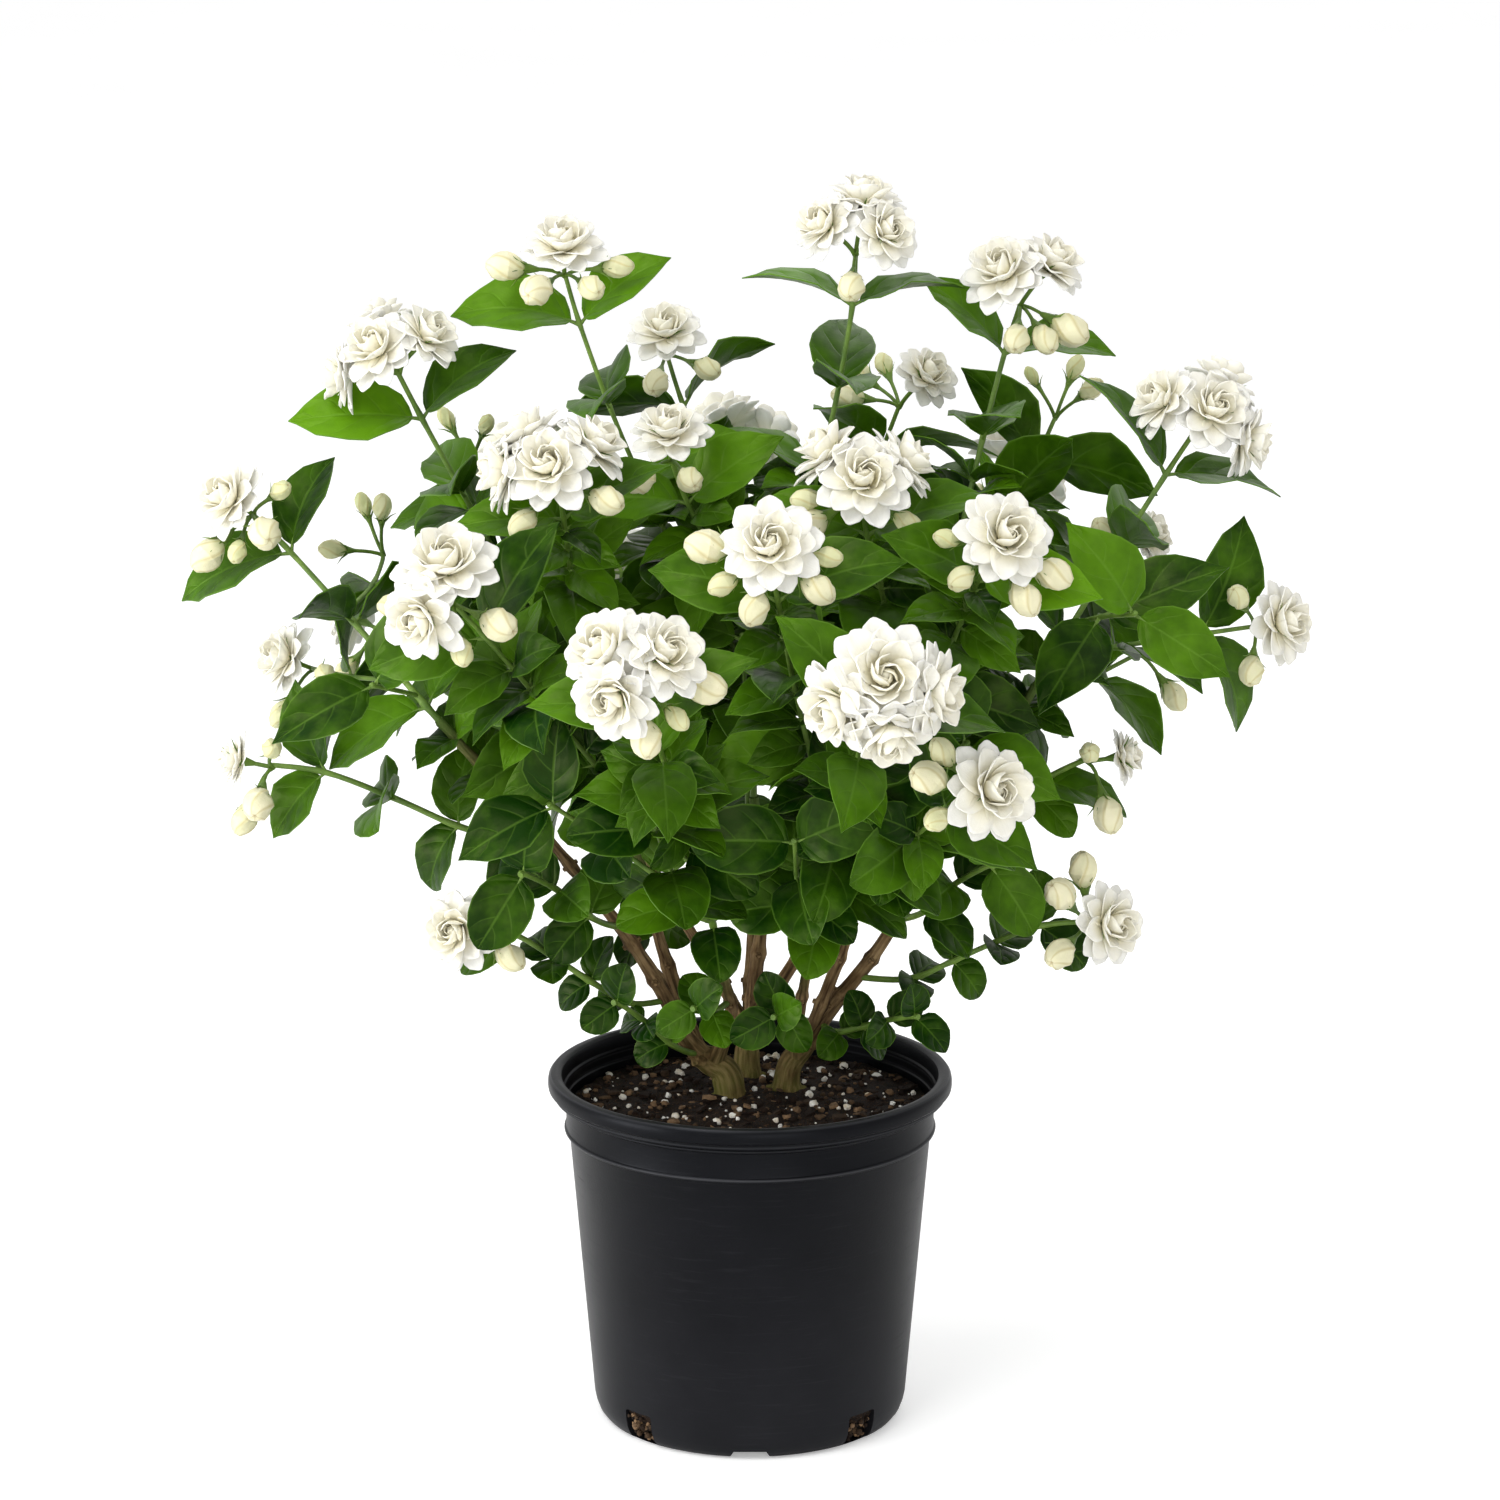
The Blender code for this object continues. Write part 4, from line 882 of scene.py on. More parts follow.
def strew(name, masters, count, sizes, sink, first, shade_low=0.0):
    """Copies of the masters over the mound, each with its own size, turn and shade."""
    parts = []
    for k in range(count):
        seed = first + k
        reach = SOIL_REACH * ((k + 0.5) / count) ** 0.5
        angle = seed * TURN_OF_A_SUNFLOWER + 0.5 * scatter(seed)
        x, y = reach * cos(angle) + 0.002 * scatter(seed + 0.3), reach * sin(angle)
        size = sizes[0] + (sizes[1] - sizes[0]) * scatter(seed + 0.6, 0, 1) ** 2
        if near_trunk(x, y) < size + 0.0005 or (x * x + y * y) ** 0.5 + size > SOIL_INSIDE:
            continue
        place = Matrix.Translation((x, y, loose_height(x, y) + size * sink))
        place = place @ Matrix.Rotation(tau * scatter(seed + 0.1, 0, 1), 4, "Z")
        place = place @ Matrix.Rotation(0.5 * scatter(seed + 0.2), 4, "X") @ Matrix.Scale(size, 4)
        parts.append(copy_of(masters[k % len(masters)], place, shade=scatter(seed + 0.9, shade_low, 1)))
    discard(*masters)
    print(name, len(parts))
    return join(parts)


def window_fill(master, count):
    """Crumbs on the soil's flank, where the drain windows show it."""
    parts = []
    for k in range(4 * count):
        angle = tau / 8 + (k % 4) * tau / 4 + scatter(k + 0.4) * WINDOW_HALF_ANGLE
        height = scatter(k + 0.8, 0.0030, 0.0150)
        reach = 0.0745 + 0.45 * height + scatter(k + 0.5, 0.0, 0.0040)
        place = Matrix.Rotation(angle, 4, "Z") @ Matrix.Translation((0, -reach, height))
        place = place @ Matrix.Rotation(tau * scatter(k + 0.2), 4, "Y")
        parts.append(copy_of(master, place @ Matrix.Scale(scatter(k, 0.0010, 0.0023), 4),
                             shade=scatter(k + 0.6, 0.2, 1)))
    return parts


flank = pebble(1, 0.45, 12, 0.7)
flank_crumbs = window_fill(flank, 34)
discard(flank)
crumbs = strew("crumbs", [pebble(1, 0.45, 3, 0.8), pebble(1, 0.5, 5, 0.7)], 820, (0.0009, 0.0033), 0.15, 11)
crumbs = join([crumbs, *flank_crumbs])
chips = strew("bark chips", [chip(2), chip(7), chip(9)], 170, (0.0012, 0.0044), 0.35, 900)
perlite = strew("perlite", [pebble(2, 0.34, 1), pebble(1, 0.42, 4, 0.8), pebble(2, 0.28, 8, 0.9),
                            pebble(1, 0.36, 6, 0.9)], 210, (0.0006, 0.0027), 0.35, 2000)
smooth(perlite, 34)

# %% [markdown]
# Wet peat is almost black, dries to a warm brown, and has a reddish cast where bark breaks down. The
# crumbs and chips carry their own shade, so no two neighbours match. Perlite is chalk white with cream
# stains and a pitted skin.

# %% Soil finishes
def shade_of(tree, name="shade"):
    return put(tree, "ShaderNodeAttribute", attribute_name=name).outputs["Fac"]


soil_finish, tree, shader = new_finish("soil_dark_peat", Specular_IOR_Level=0.25)
marks = marks_on(tree, 90.0, 900.0)
colour = blend_colours(tree, marks["Patches"], (0.0030, 0.0020, 0.0014), (0.0190, 0.0095, 0.0050))
colour = blend_colours(tree, maths(tree, "POWER", marks["Grain"], 5.0), colour, (0.130, 0.068, 0.034))
wire(tree, shader, colour, remap(tree, marks["Grain"], 0, 1, 0.75, 1.0), marks["Grain"], 0.9, 0.0012)

crumb_finish, tree, shader = new_finish("crumb_brown", Specular_IOR_Level=0.2)
marks = marks_on(tree, 200.0, 1500.0)
shade = maths(tree, "POWER", shade_of(tree), 3.4)
colour = blend_colours(tree, shade, (0.0060, 0.0036, 0.0026), (0.420, 0.260, 0.140))
damp = times(tree, marks["Patches"], 0.7)
colour = blend_colours(tree, damp, colour, (0.026, 0.012, 0.006))
wire(tree, shader, colour, remap(tree, marks["Grain"], 0, 1, 0.75, 1.0), marks["Grain"], 0.7, 0.0006)

perlite_finish, tree, shader = new_finish("perlite_white", Specular_IOR_Level=0.3)
marks = marks_on(tree, 260.0, 1800.0)
stain = times(tree, marks["Patches"], maths(tree, "POWER", shade_of(tree), 1.5))
colour = blend_colours(tree, stain, (0.96, 0.945, 0.89), (0.66, 0.52, 0.33))
wire(tree, shader, colour, remap(tree, marks["Grain"], 0, 1, 0.65, 0.95), marks["Grain"], 0.6, 0.0005)

settle(soil, "soil_mound", [soil_finish], "soil", "soil")
settle(crumbs, "soil_crumbs", [crumb_finish], "soil", "soil")
settle(chips, "soil_bark_chips", [crumb_finish], "soil", "soil")
settle(perlite, "soil_perlite", [perlite_finish], "soil", "soil")
print("soil pieces", 4)

# %% [markdown]
# The green part is planned before it is modelled. Each spray below is one flowering or leafy tip: its
# name, where its shoot leaves the branch's leader, its place, the way it faces (azimuth 0 is the
# front), the radius of its blooms, and clock angles for the blooms and buds round it. Lengths are in
# millimetres. The places were read from the photograph for the front and made up for the back, and
# they are the CAD source's own.

# %% Table of branches
BLOOM_RADIUS_MM = 20
Branch = namedtuple("Branch", "limb at sprays")
Spray = namedtuple("Spray", "name join tip azimuth elevation radius centre ring buds")
Shoot = namedtuple("Shoot", "branch spray rings hub axis pairs start")
Ring = namedtuple("Ring", "point way side radius")
LeafPlan = namedtuple("LeafPlan", "shoot origin run face length width arch index")
HeadPlan = namedtuple("HeadPlan", "shoot radius way base")
BudPlan = namedtuple("BudPlan", "shoot way size index")


def spray(name, join, tip, azimuth, elevation, radius=BLOOM_RADIUS_MM, centre=False, ring=(), buds=()):
    return Spray(name, join, metres(tip), azimuth, elevation, radius / 1000, centre, ring, buds)


BRANCHES = {
    "branch_left": Branch("left", 1.0, (
        spray("left_outer", 0.0, (-274, 0, 502), -50, 34, 22.5, True, (), (60, 110, 150, 195)),
        spray("left_low", 0.18, (-250, 30, 410), -58, 25, 20.5, True, (), (90, 180)),
        spray("left_inner", 0.50, (-208, 52, 474), -50, 45, 16, False, (), (330, 30, 200)),
        spray("left_fill", 0.10, (-192, -85, 420), -30, 30),
    )),
    "branch_left_side": Branch("left", 0.84, (
        spray("left_side", 0.0, (-270, -30, 368), -75, 15, 15, True, (), (60, 120, 175)),
    )),
    "branch_low_left": Branch("left", 0.50, (
        spray("low_left", 0.0, (-154, -62, 284), -22, 8, 22.5, True, (), (45, 115)),
    )),
    "branch_upper_left": Branch("upper_left", 1.0, (
        spray("upper_left", 0.0, (-193, 8, 577), -35, 40, 22.5, True, (325, 50, 240), ()),
        spray("upper_left_front", 0.25, (-100, -100, 535), -10, 35, 24.5, True, (325, 270, 50), (225, 95)),
        spray("upper_left_back", 0.45, (-156, 75, 522), -40, 60, 16, False, (), (300, 60)),
        spray("upper_left_fill", 0.08, (-150, 60, 400), -70, 30),
        spray("upper_left_low", 0.15, (-100, -50, 385), -30, 25),
    )),
    "branch_front_left": Branch("front_left", 1.0, (
        spray("front_left", 0.0, (-55, -228, 458), -5, 25, 26.5, False, (305, 60, 215), (95, 135, 170)),
        spray("left_front", 0.25, (-154, -148, 480), -20, 25, 26.5, False, (15, 200), (110, 155, 260)),
        spray("front_left_low", 0.06, (-48, -128, 356), -15, 30),
        spray("front_left_side", 0.12, (-102, -105, 362), -50, 20),
    )),
    "branch_top": Branch("top", 1.0, (
        spray("top_right", 0.0, (55, 20, 640), 0, 50, 22.5, False, (15, 265, 115), (185,)),
        spray("top_left", 0.20, (-96, 0, 636), 0, 66, 22.5, True, (), (100, 150, 205, 260)),
        spray("top_back", 0.34, (-45, 100, 576), 0, 55, 21, True, (), (190, 130)),
        spray("top_front", 0.27, (-41, -22, 542), 0, 64, 21.5, True, (), (160, 210)),
        spray("top_low", 0.06, (-4, -12, 430), 0, 50),
    )),
    "branch_upper_right": Branch("upper_right", 1.0, (
        spray("upper_right", 0.0, (147, 50, 608), 15, 45, 24, False, (285, 60), (200, 170, 140)),
        spray("centre_right_top", 0.18, (57, -100, 528), 5, 35, 25, True, (320, 60), (280, 240, 110)),
        spray("right_front", 0.12, (128, -130, 506), 20, 30, 25.5, True, (), (280, 235, 165, 125)),
        spray("upper_right_back", 0.50, (168, 120, 541), 10, 65, 16, False, (), (40, 300, 120)),
        spray("upper_right_low", 0.05, (112, -65, 385), 40, 25),
    )),
    "branch_right": Branch("right", 1.0, (
        spray("right_upper", 0.0, (240, 0, 546), 25, 35, 23.5, True, (300, 40, 125), ()),
        spray("right_outer", 0.12, (282, 0, 434), 52, 12, 22.5, True, (), (310, 225)),
        spray("right_back", 0.35, (216, 70, 468), 65, 30, 18, True, (), (200, 300)),
        spray("right_fill", 0.22, (196, -75, 455), 35, 30),
    )),
    "branch_right_side": Branch("right", 0.84, (
        spray("right_side", 0.0, (198, -22, 368), 75, 12, 15, True, (), (290, 210)),
    )),
    "branch_low_right": Branch("right", 0.52, (
        spray("low_right", 0.0, (190, -50, 284), 42, 10, 22.5, True, (), (310, 350, 250)),
    )),
    "branch_front_right": Branch("front_right", 1.0, (
        spray("front_right", 0.0, (64, -240, 458), 5, 20, 27.5, True, (240, 175, 105), ()),
        spray("centre", 0.36, (10, -172, 510), 0, 32, 25.5, True, (), (275, 235, 195, 130, 95)),
        spray("right_low_front", 0.20, (120, -198, 392), 30, 16, 25.5, True, (), (320, 290, 250)),
        spray("front_right_low", 0.05, (22, -132, 350), -5, 30),
        spray("front_right_side", 0.10, (88, -110, 356), 40, 25),
    )),
    "branch_back_left": Branch("back_left", 1.0, (
        spray("back_left_top", 0.0, (-130, 190, 484), -145, 34, 23, False, (20, 200), (110,)),
        spray("back_left_outer", 0.12, (-220, 130, 412), -120, 20, 20, True, (), (160,)),
        spray("back_left_low", 0.25, (-78, 240, 425), -165, 20, 24, True, (), (110,)),
        spray("back_left_fill", 0.06, (-125, 165, 345), -140, 20),
    )),
    "branch_back": Branch("back", 1.0, (
        spray("back_top", 0.0, (-2, 205, 500), 178, 40, 24, False, (60, 240), (160,)),
        spray("back_low", 0.08, (0, 235, 320), 180, 8, 19, True, (), (120,)),
        spray("back_inner", 0.45, (84, 140, 543), 10, 60, 19, False, (120,), (315, 350, 270)),
        spray("back_fill", 0.25, (-40, 205, 400), -170, 30),
    )),
    "branch_back_right": Branch("back_right", 1.0, (
        spray("back_right_top", 0.0, (152, 195, 480), 140, 34, 23, False, (20, 200), (110,)),
        spray("back_right_outer", 0.12, (232, 125, 400), 112, 20, 20, True, (), (200,)),
        spray("back_right_low", 0.25, (78, 245, 405), 160, 15, 24, True, (), (90, 270)),
        spray("back_right_fill", 0.06, (128, 160, 345), 140, 20),
    )),
    "twig_foot_left": Branch("left", 0.30, (
        spray("foot_left", 0.0, (-72, -30, 236), -60, 30),
    )),
    "twig_foot_front": Branch("front_left", 0.45, (
        spray("foot_front", 0.0, (-30, -56, 240), -30, 35),
    )),
    "twig_foot_middle": Branch("front_right", 0.45, (
        spray("foot_middle", 0.0, (12, -58, 236), -20, 30),
    )),
    "twig_foot_right": Branch("right", 0.34, (
        spray("foot_right", 0.0, (88, -50, 234), 55, 25),
    )),
    "twig_mid_left": Branch("left", 0.68, (
        spray("mid_left", 0.0, (-118, -78, 318), -50, 15),
    )),
    "twig_mid_right": Branch("right", 0.68, (
        spray("mid_right", 0.0, (126, -60, 318), 45, 15),
    )),
    "twig_foot_back": Branch("back_left", 0.50, (
        spray("foot_back", 0.0, (-62, 120, 236), -140, 15),
    )),
}

print("branches", len(BRANCHES), "sprays", sum(len(b.sprays) for b in BRANCHES.values()))

# %% [markdown]
# Leaves grow in pairs, each pair turned a quarter against the last. Where a leaf would cut through its
# neighbour, a living plant bends it aside, so the plan tries a list of bends and keeps the first that
# is clear of everything placed before it. It tests with search trees over coarse shapes, which is fast,
# and the fine meshes come later in the same places.

# %% Sizes and bends for the plan
SHOOT_RADIUS = 0.0017
TWIG_RADIUS = 0.0013
CALYX_RADIUS = 0.0016
HUB_SETBACK = 0.020
HUB_BAND = 0.0024
LEAF_BAND = 0.0032
JOIN_CLEAR = 0.0060
LEAF_LENGTH_TOP = 0.066
LEAF_LENGTH_FOOT = 0.020
LEAF_SLIM = 0.52
LEAF_ROUND = 0.85
LEAF_THICKNESS = 0.0015
LEAF_FOLD = 0.26
LEAF_ARCH = 0.75
LIGHT_SHARE = 1.1
SKYWARD_FROM = 0.44
SKYWARD_SPAN = 0.14
PROBE_START = 0.0055
FIRST_LEAF = 0.030
LEAF_STEP_LEAST = 0.008
LEAF_STEP_SHARE = 0.66
BUSH_FOOT = 0.215
BUSH_TOP = 0.420
BACK_START = 0.09
PETALS = 5
BLOOM_PROFILE = (
    ((0.00, 0.14), (0.00, 0.14)),
    ((1.00, 0.30), (0.62, 0.34)),
    ((0.46, 0.52), (0.46, 0.52)),
    ((0.82, 0.78), (0.52, 0.62)),
    ((0.40, 0.98), (0.26, 0.80)),
    ((0.00, 0.76), (0.00, 0.76)),
)
SIDE_BLOOM_SHARE = 0.88
SIDE_BLOOM_REACH = 0.025
BUD_RADIUS = 0.0086
BUD_LENGTH = 0.022
BUD_STALK = 0.020

LEAF_BENDS = (
    (0, 0, 0, 1.0), (18, 0, 20, 1.0), (-18, 0, -20, 1.0), (0, 20, 0, 1.0), (0, -20, 0, 1.0),
    (35, 12, 30, 0.95), (-35, 12, -30, 0.95), (0, 35, 35, 0.9), (0, -30, -35, 0.9),
    (50, -15, 0, 0.85), (-50, -15, 0, 0.85), (25, 30, -40, 0.8), (-25, 30, 40, 0.8),
    (0, 0, 50, 0.7), (0, 0, -50, 0.7), (30, -25, 0, 0.62), (-30, -25, 0, 0.62),
)
BUD_SHIFTS = (
    (0, 0), (0, 12), (18, 0), (-18, 0), (0, 24), (24, 14), (-24, 14),
    (40, 0), (-40, 0), (0, 38), (50, 25), (-50, 25),
)

# %% Ways and coarse shapes
def heading(azimuth, elevation):
    """The way a spray faces. Azimuth 0 is towards the front, 90 towards +X."""
    a, e = radians(azimuth), radians(elevation)
    return Vector((sin(a) * cos(e), -cos(a) * cos(e), sin(e)))


def clock_way(axis, clock, tilt):
    """The axis tilted towards a clock angle, with 0 at the top and 90 to the right, seen from the front."""
    up = (Vector((0, 0, 1)) - axis * axis.z).normalized()
    right = up.cross(axis)
    side = up * cos(radians(clock)) + right * sin(radians(clock))
    return axis * cos(radians(tilt)) + side * sin(radians(tilt))


def free_side(way):
    """A side to measure from: up, or +Y where the way itself is nearly upright."""
    return Vector((0, 0, 1)) if abs(way.z) < 0.95 else Vector((0, 1, 0))


def laid(run, face):
    """The turn that takes +Y to this run, and +Z as near as it can to this face."""
    up = square_to(run, face)
    return Matrix((run.cross(up), run, up)).transposed().to_4x4()


def placed(work, origin, way, face):
    """Turns the mesh so that its Y runs along way and its Z faces as asked, and moves it to origin."""
    bmesh.ops.transform(work, matrix=Matrix.Translation(origin) @ laid(way, face), verts=work.verts)


def rosette(radius, origin, way):
    """A bloom: a ball whose rings of points are drawn out into three layers of pointed petals."""
    work = bmesh.new()
    rings = len(BLOOM_PROFILE) - 1
    bmesh.ops.create_uvsphere(work, u_segments=2 * PETALS, v_segments=rings, radius=1.0)
    for vertex in work.verts:
        ring = round(acos(max(-1.0, min(1.0, vertex.co.z))) / pi * rings)
        angle = atan2(vertex.co.y, vertex.co.x)
        column = round(angle / tau * 2 * PETALS)
        tip = (column + ring // 2) % 2 == 0
        reach, rise = BLOOM_PROFILE[ring][0 if tip else 1]
        vertex.co = radius * Vector((reach * cos(angle), rise, reach * sin(angle)))
    placed(work, origin, way, free_side(way))
    bmesh.ops.recalc_face_normals(work, faces=work.faces)
    return work


def square(centre, way, side, radius):
    """Four corners round a centre, counter-clockwise about way, with flats that face side."""
    side = square_to(way, side)
    other = way.cross(side)
    angles = [pi / 4 + k * pi / 2 for k in range(4)]
    return [centre + radius * (side * cos(a) + other * sin(a)) for a in angles]


def side_way(ring, k):
    """The way that side k of a stem faces at this ring."""
    other = ring.way.cross(ring.side)
    return (other, -ring.side, -other, ring.side)[k]


def leaf_rings(length, width, arch, origin, run, face, thickness):
    """A leaf blade's two cross-sections, each of two margins and the midrib's two faces, and its tip."""
    up = square_to(run, face)
    across_way = run.cross(up)

    def bent(across, along, lift):
        bend = arch * along
        rise = (length / arch + lift) * cos(bend) - length / arch
        return origin + across_way * across + run * (length / arch + lift) * sin(bend) + up * rise

    rings = []
    for along, spread in ((0.30, 0.96), (0.66, 0.80)):
        half = spread * width / 2
        edge = half * LEAF_FOLD
        rings.append([bent(half, along, edge), bent(0, along, -thickness / 2),
                      bent(-half, along, edge), bent(0, along, thickness / 2)])
    return rings, bent(0, 1.0, 0)


def bud_rings(size, stalk, hub, way):
    """A bud on its stalk: the calyx, two cross-sections of the bud, and its tip."""
    side = free_side(way)
    stations = ((stalk, 0.0017), (stalk + 0.42 * BUD_LENGTH * size, BUD_RADIUS * size),
                (stalk + 0.80 * BUD_LENGTH * size, 0.72 * BUD_RADIUS * size))
    rings = [square(hub + way * along, way, side, radius) for along, radius in stations]
    return rings, hub + way * (stalk + BUD_LENGTH * size)


def tree_of(rings, tip=None):
    """A search tree of the skin over some rings of four points, with their centre and reach."""
    points = [p for ring in rings for p in ring]
    skin = [(4 * k + i, 4 * k + (i + 1) % 4, 4 * k + 4 + (i + 1) % 4, 4 * k + 4 + i)
            for k in range(len(rings) - 1) for i in range(4)]
    if tip is not None:
        last = 4 * (len(rings) - 1)
        skin += [(last + i, last + (i + 1) % 4, len(points)) for i in range(4)]
        points = points + [tip]
    centre = sum(points, Vector()) / len(points)
    return BVHTree.FromPolygons(points, skin), centre, max((p - centre).length for p in points)


class Solids(list):
    """Every solid placed so far, so that a new one can be bent clear of them."""

    def add_mesh(self, work):
        points = [v.co for v in work.verts]
        centre = sum(points, Vector()) / len(points)
        self.append((BVHTree.FromBMesh(work), centre, max((p - centre).length for p in points)))

    def blocked(self, solid):
        tree, centre, reach = solid
        return any((place - centre).length < reach + other_reach and tree.overlap(other)
                   for other, place, other_reach in self)


def leaf_size(height, index):
    """A leaf's length and width by its height in the bush: long above, small and round at the foot."""
    share = held((height - BUSH_FOOT) / (BUSH_TOP - BUSH_FOOT))
    length = LEAF_LENGTH_FOOT + (LEAF_LENGTH_TOP - LEAF_LENGTH_FOOT) * share
    length *= scatter(index, 0.90, 1.10)
    return length, length * (LEAF_ROUND + (LEAF_SLIM - LEAF_ROUND) * share)

# %% Shoots
def lay_rings(route, first_radius, last_radius, axis, joins, blooming, skip):
    """A shoot's rings from its tip down, and the bands between them that bear leaves and side shoots."""
    lengths = [0.0]
    for a, b in zip(reversed(route[1:]), reversed(route[:-1])):
        lengths.append(lengths[-1] + (a - b).length)
    total = lengths[-1]
    bands = [(total * (1 - join), 1.6 * TWIG_RADIUS, "join") for join in joins]
    distance = FIRST_LEAF if blooming else LEAF_BAND
    while distance < total - skip - 0.008:
        while any(abs(distance - other) < JOIN_CLEAR for other, _, kind in bands if kind == "join"):
            distance += 0.001
        if distance < total - skip - 0.005:
            bands.append((distance, LEAF_BAND / 2, "leaves"))
        height = route[max(0, len(route) - 1 - sum(length < distance for length in lengths))].z
        distance += LEAF_STEP_LEAST + LEAF_STEP_SHARE * leaf_size(height, 0)[0]
    places = [0.0] + ([HUB_BAND, 2 * HUB_BAND] if blooming else [])
    marks = {}
    for distance, half, kind in sorted(bands):
        marks[len(places)] = (kind, distance)
        places += [distance - half, distance + half]
    places.append(total - skip)
    rings = []
    side = axis.cross(Vector((0, 1, 0)))
    for place in places:
        i = min(len(route) - 2, max(k for k, length in enumerate(lengths[:-1]) if length <= place + 1e-9))
        upper, lower = route[len(route) - 1 - i], route[len(route) - 2 - i]
        way = (upper - lower).normalized()
        side = square_to(way, side)
        point = upper.lerp(lower, (place - lengths[i]) / (lengths[i + 1] - lengths[i]))
        rings.append(Ring(point, way, side, last_radius + (first_radius - last_radius) * place / total))
    return rings, marks


def stand_off(start, way, radius, bark):
    """Moves a side shoot's foot out along way until its whole end is just clear of the bark."""
    end = square(start, way, free_side(way), radius)
    end += [(a + b) / 2 for a, b in zip(end, end[1:] + end[:1])] + [start]
    moved = 0.0
    while True:
        clear = True
        for point in end:
            found, normal, _, distance = bark.find_nearest(point + way * moved)
            clear = clear and distance >= GAP and (point + way * moved - found).dot(normal) > 0
        if clear:
            return start + way * moved
        moved += 0.00005


def grow_shoots(routes, barks):
    """Every shoot of every branch: its rings, its hub or tip, and the bands that bear its leaves."""
    shoots = []
    for branch_name, branch in BRANCHES.items():
        limb_route, _ = routes[branch.limb]
        root, way = point_on(limb_route, branch.at)
        start = root
        if branch.at == 1.0:
            way = (limb_route[-1] - limb_route[-2]).normalized()
            start = limb_route[-1] + way * GAP
        else:
            way = square_to(way, branch.sprays[0].tip - start)
            start = stand_off(start, way, SHOOT_RADIUS, barks[LIMBS[branch.limb].trunk])
        joins = [item.join for item in branch.sprays[1:]]
        for item in branch.sprays:
            blooming = bool(item.centre or item.ring or item.buds)
            axis = heading(item.azimuth, item.elevation)
            hub = item.tip - axis * (HUB_SETBACK if blooming else 0.0)
            if item is branch.sprays[0]:
                foot = start + way * 0.003
                leader = [start, *bow(foot, way * 0.5, hub, (axis + way).normalized() * 0.8, 16)]
                rings, marks = lay_rings(leader, SHOOT_RADIUS, TWIG_RADIUS, axis, joins, blooming, 0.0)
                leader_rings, leader_marks = rings, marks
                origin = root
            else:
                length = line_length(leader)
                band = min((k for k, mark in leader_marks.items() if mark[0] == "join"),
                           key=lambda k: abs(leader_marks[k][1] - length * (1 - item.join)))
                origin = (leader_rings[band].point + leader_rings[band + 1].point) / 2
                run = leader_rings[band].way
                towards = (hub - origin).normalized()
                leaving = (run * 0.7 + square_to(run, towards)).normalized() * 0.8
                route = bow(origin, leaving, hub, (axis + towards).normalized() * 0.8, 16)
                rings, marks = lay_rings(route, TWIG_RADIUS, TWIG_RADIUS * 0.9, axis, (), blooming, 0.0055)
            pairs = [band for band, mark in sorted(marks.items()) if mark[0] == "leaves"]
            shoots.append(Shoot(branch_name, item, rings, hub, axis, pairs, origin))
    return shoots


# %% Blooms, buds and leaves in place
def bloom_places(item, hub, axis):
    """Each bloom of a spray, as (radius, the way it faces, the place of its base)."""
    places = []
    if item.centre:
        rise = HUB_SETBACK - 0.5 * item.radius + (0.005 if item.ring else 0)
        places.append((item.radius, axis, hub + axis * rise))
    tilt = 66 if item.centre else 24 + 4 * len(item.ring)
    for clock in item.ring:
        way = clock_way(axis, clock, tilt)
        radius = item.radius * (SIDE_BLOOM_SHARE if places else 1.0)
        places.append((radius, way, hub + way * (SIDE_BLOOM_REACH - 0.5 * radius)))
    return places


def root_of(rings, origin, distance):
    """A small copy of a leaf's first ring at this distance from the stem's middle."""
    middle = sum(rings[0], Vector()) / 4
    foot = origin + (middle - origin).normalized() * distance
    return [foot + (point - middle) * 0.2 for point in rings[0]]


def place_leaf(shoot, band, pair, turn, index, bend):
    """Where one leaf starts, the way it runs and faces, and its size, bent as asked."""
    swing, droop, twist, size = bend
    ring, lower = shoot.rings[band], shoot.rings[band + 1]
    middle = (ring.point + lower.point) / 2
    outward = Matrix.Rotation(radians(swing), 3, ring.way) @ side_way(ring, turn)
    length, width = leaf_size(middle.z, index)
    spread = radians(min(100, max(25, 52 + 7 * min(pair, 2) + 8 * scatter(index + 0.5) + droop)))
    return lit_leaf(middle, ring.way, outward, spread, twist, index, (length * size, width * size))


def light_way(place):
    """The way a leaf turns its face: outwards low in the bush, and more to the sky near the top."""
    lift = held((place.z - SKYWARD_FROM) / SKYWARD_SPAN)
    out = 0.9 - 0.4 * lift
    return Vector((0, -out if place.y < BACK_START else out, 0.4 + 0.45 * lift))


def lit_leaf(middle, way, outward, spread, twist, index, sizes):
    """A leaf that leaves its stem at an angle and turns its face towards the light."""
    run = way * cos(spread) + outward * sin(spread)
    face = way * sin(spread) - outward * cos(spread) + light_way(middle) * LIGHT_SHARE
    face = square_to(run, face)
    face = Matrix.Rotation(radians(twist + 12 * scatter(index + 0.25)), 3, run) @ face
    arch = LEAF_ARCH * scatter(index + 0.75, 0.6, 1.3)
    return middle, run, face, *sizes, arch


def leaf_tree(leaf, thickness, reach):
    """The search tree of a leaf from this distance off its stem to its tip."""
    middle, run, face, length, width, arch = leaf
    rings, tip = leaf_rings(length, width, arch, middle, run, face, thickness)
    return tree_of([root_of(rings, middle, reach), *rings], tip)


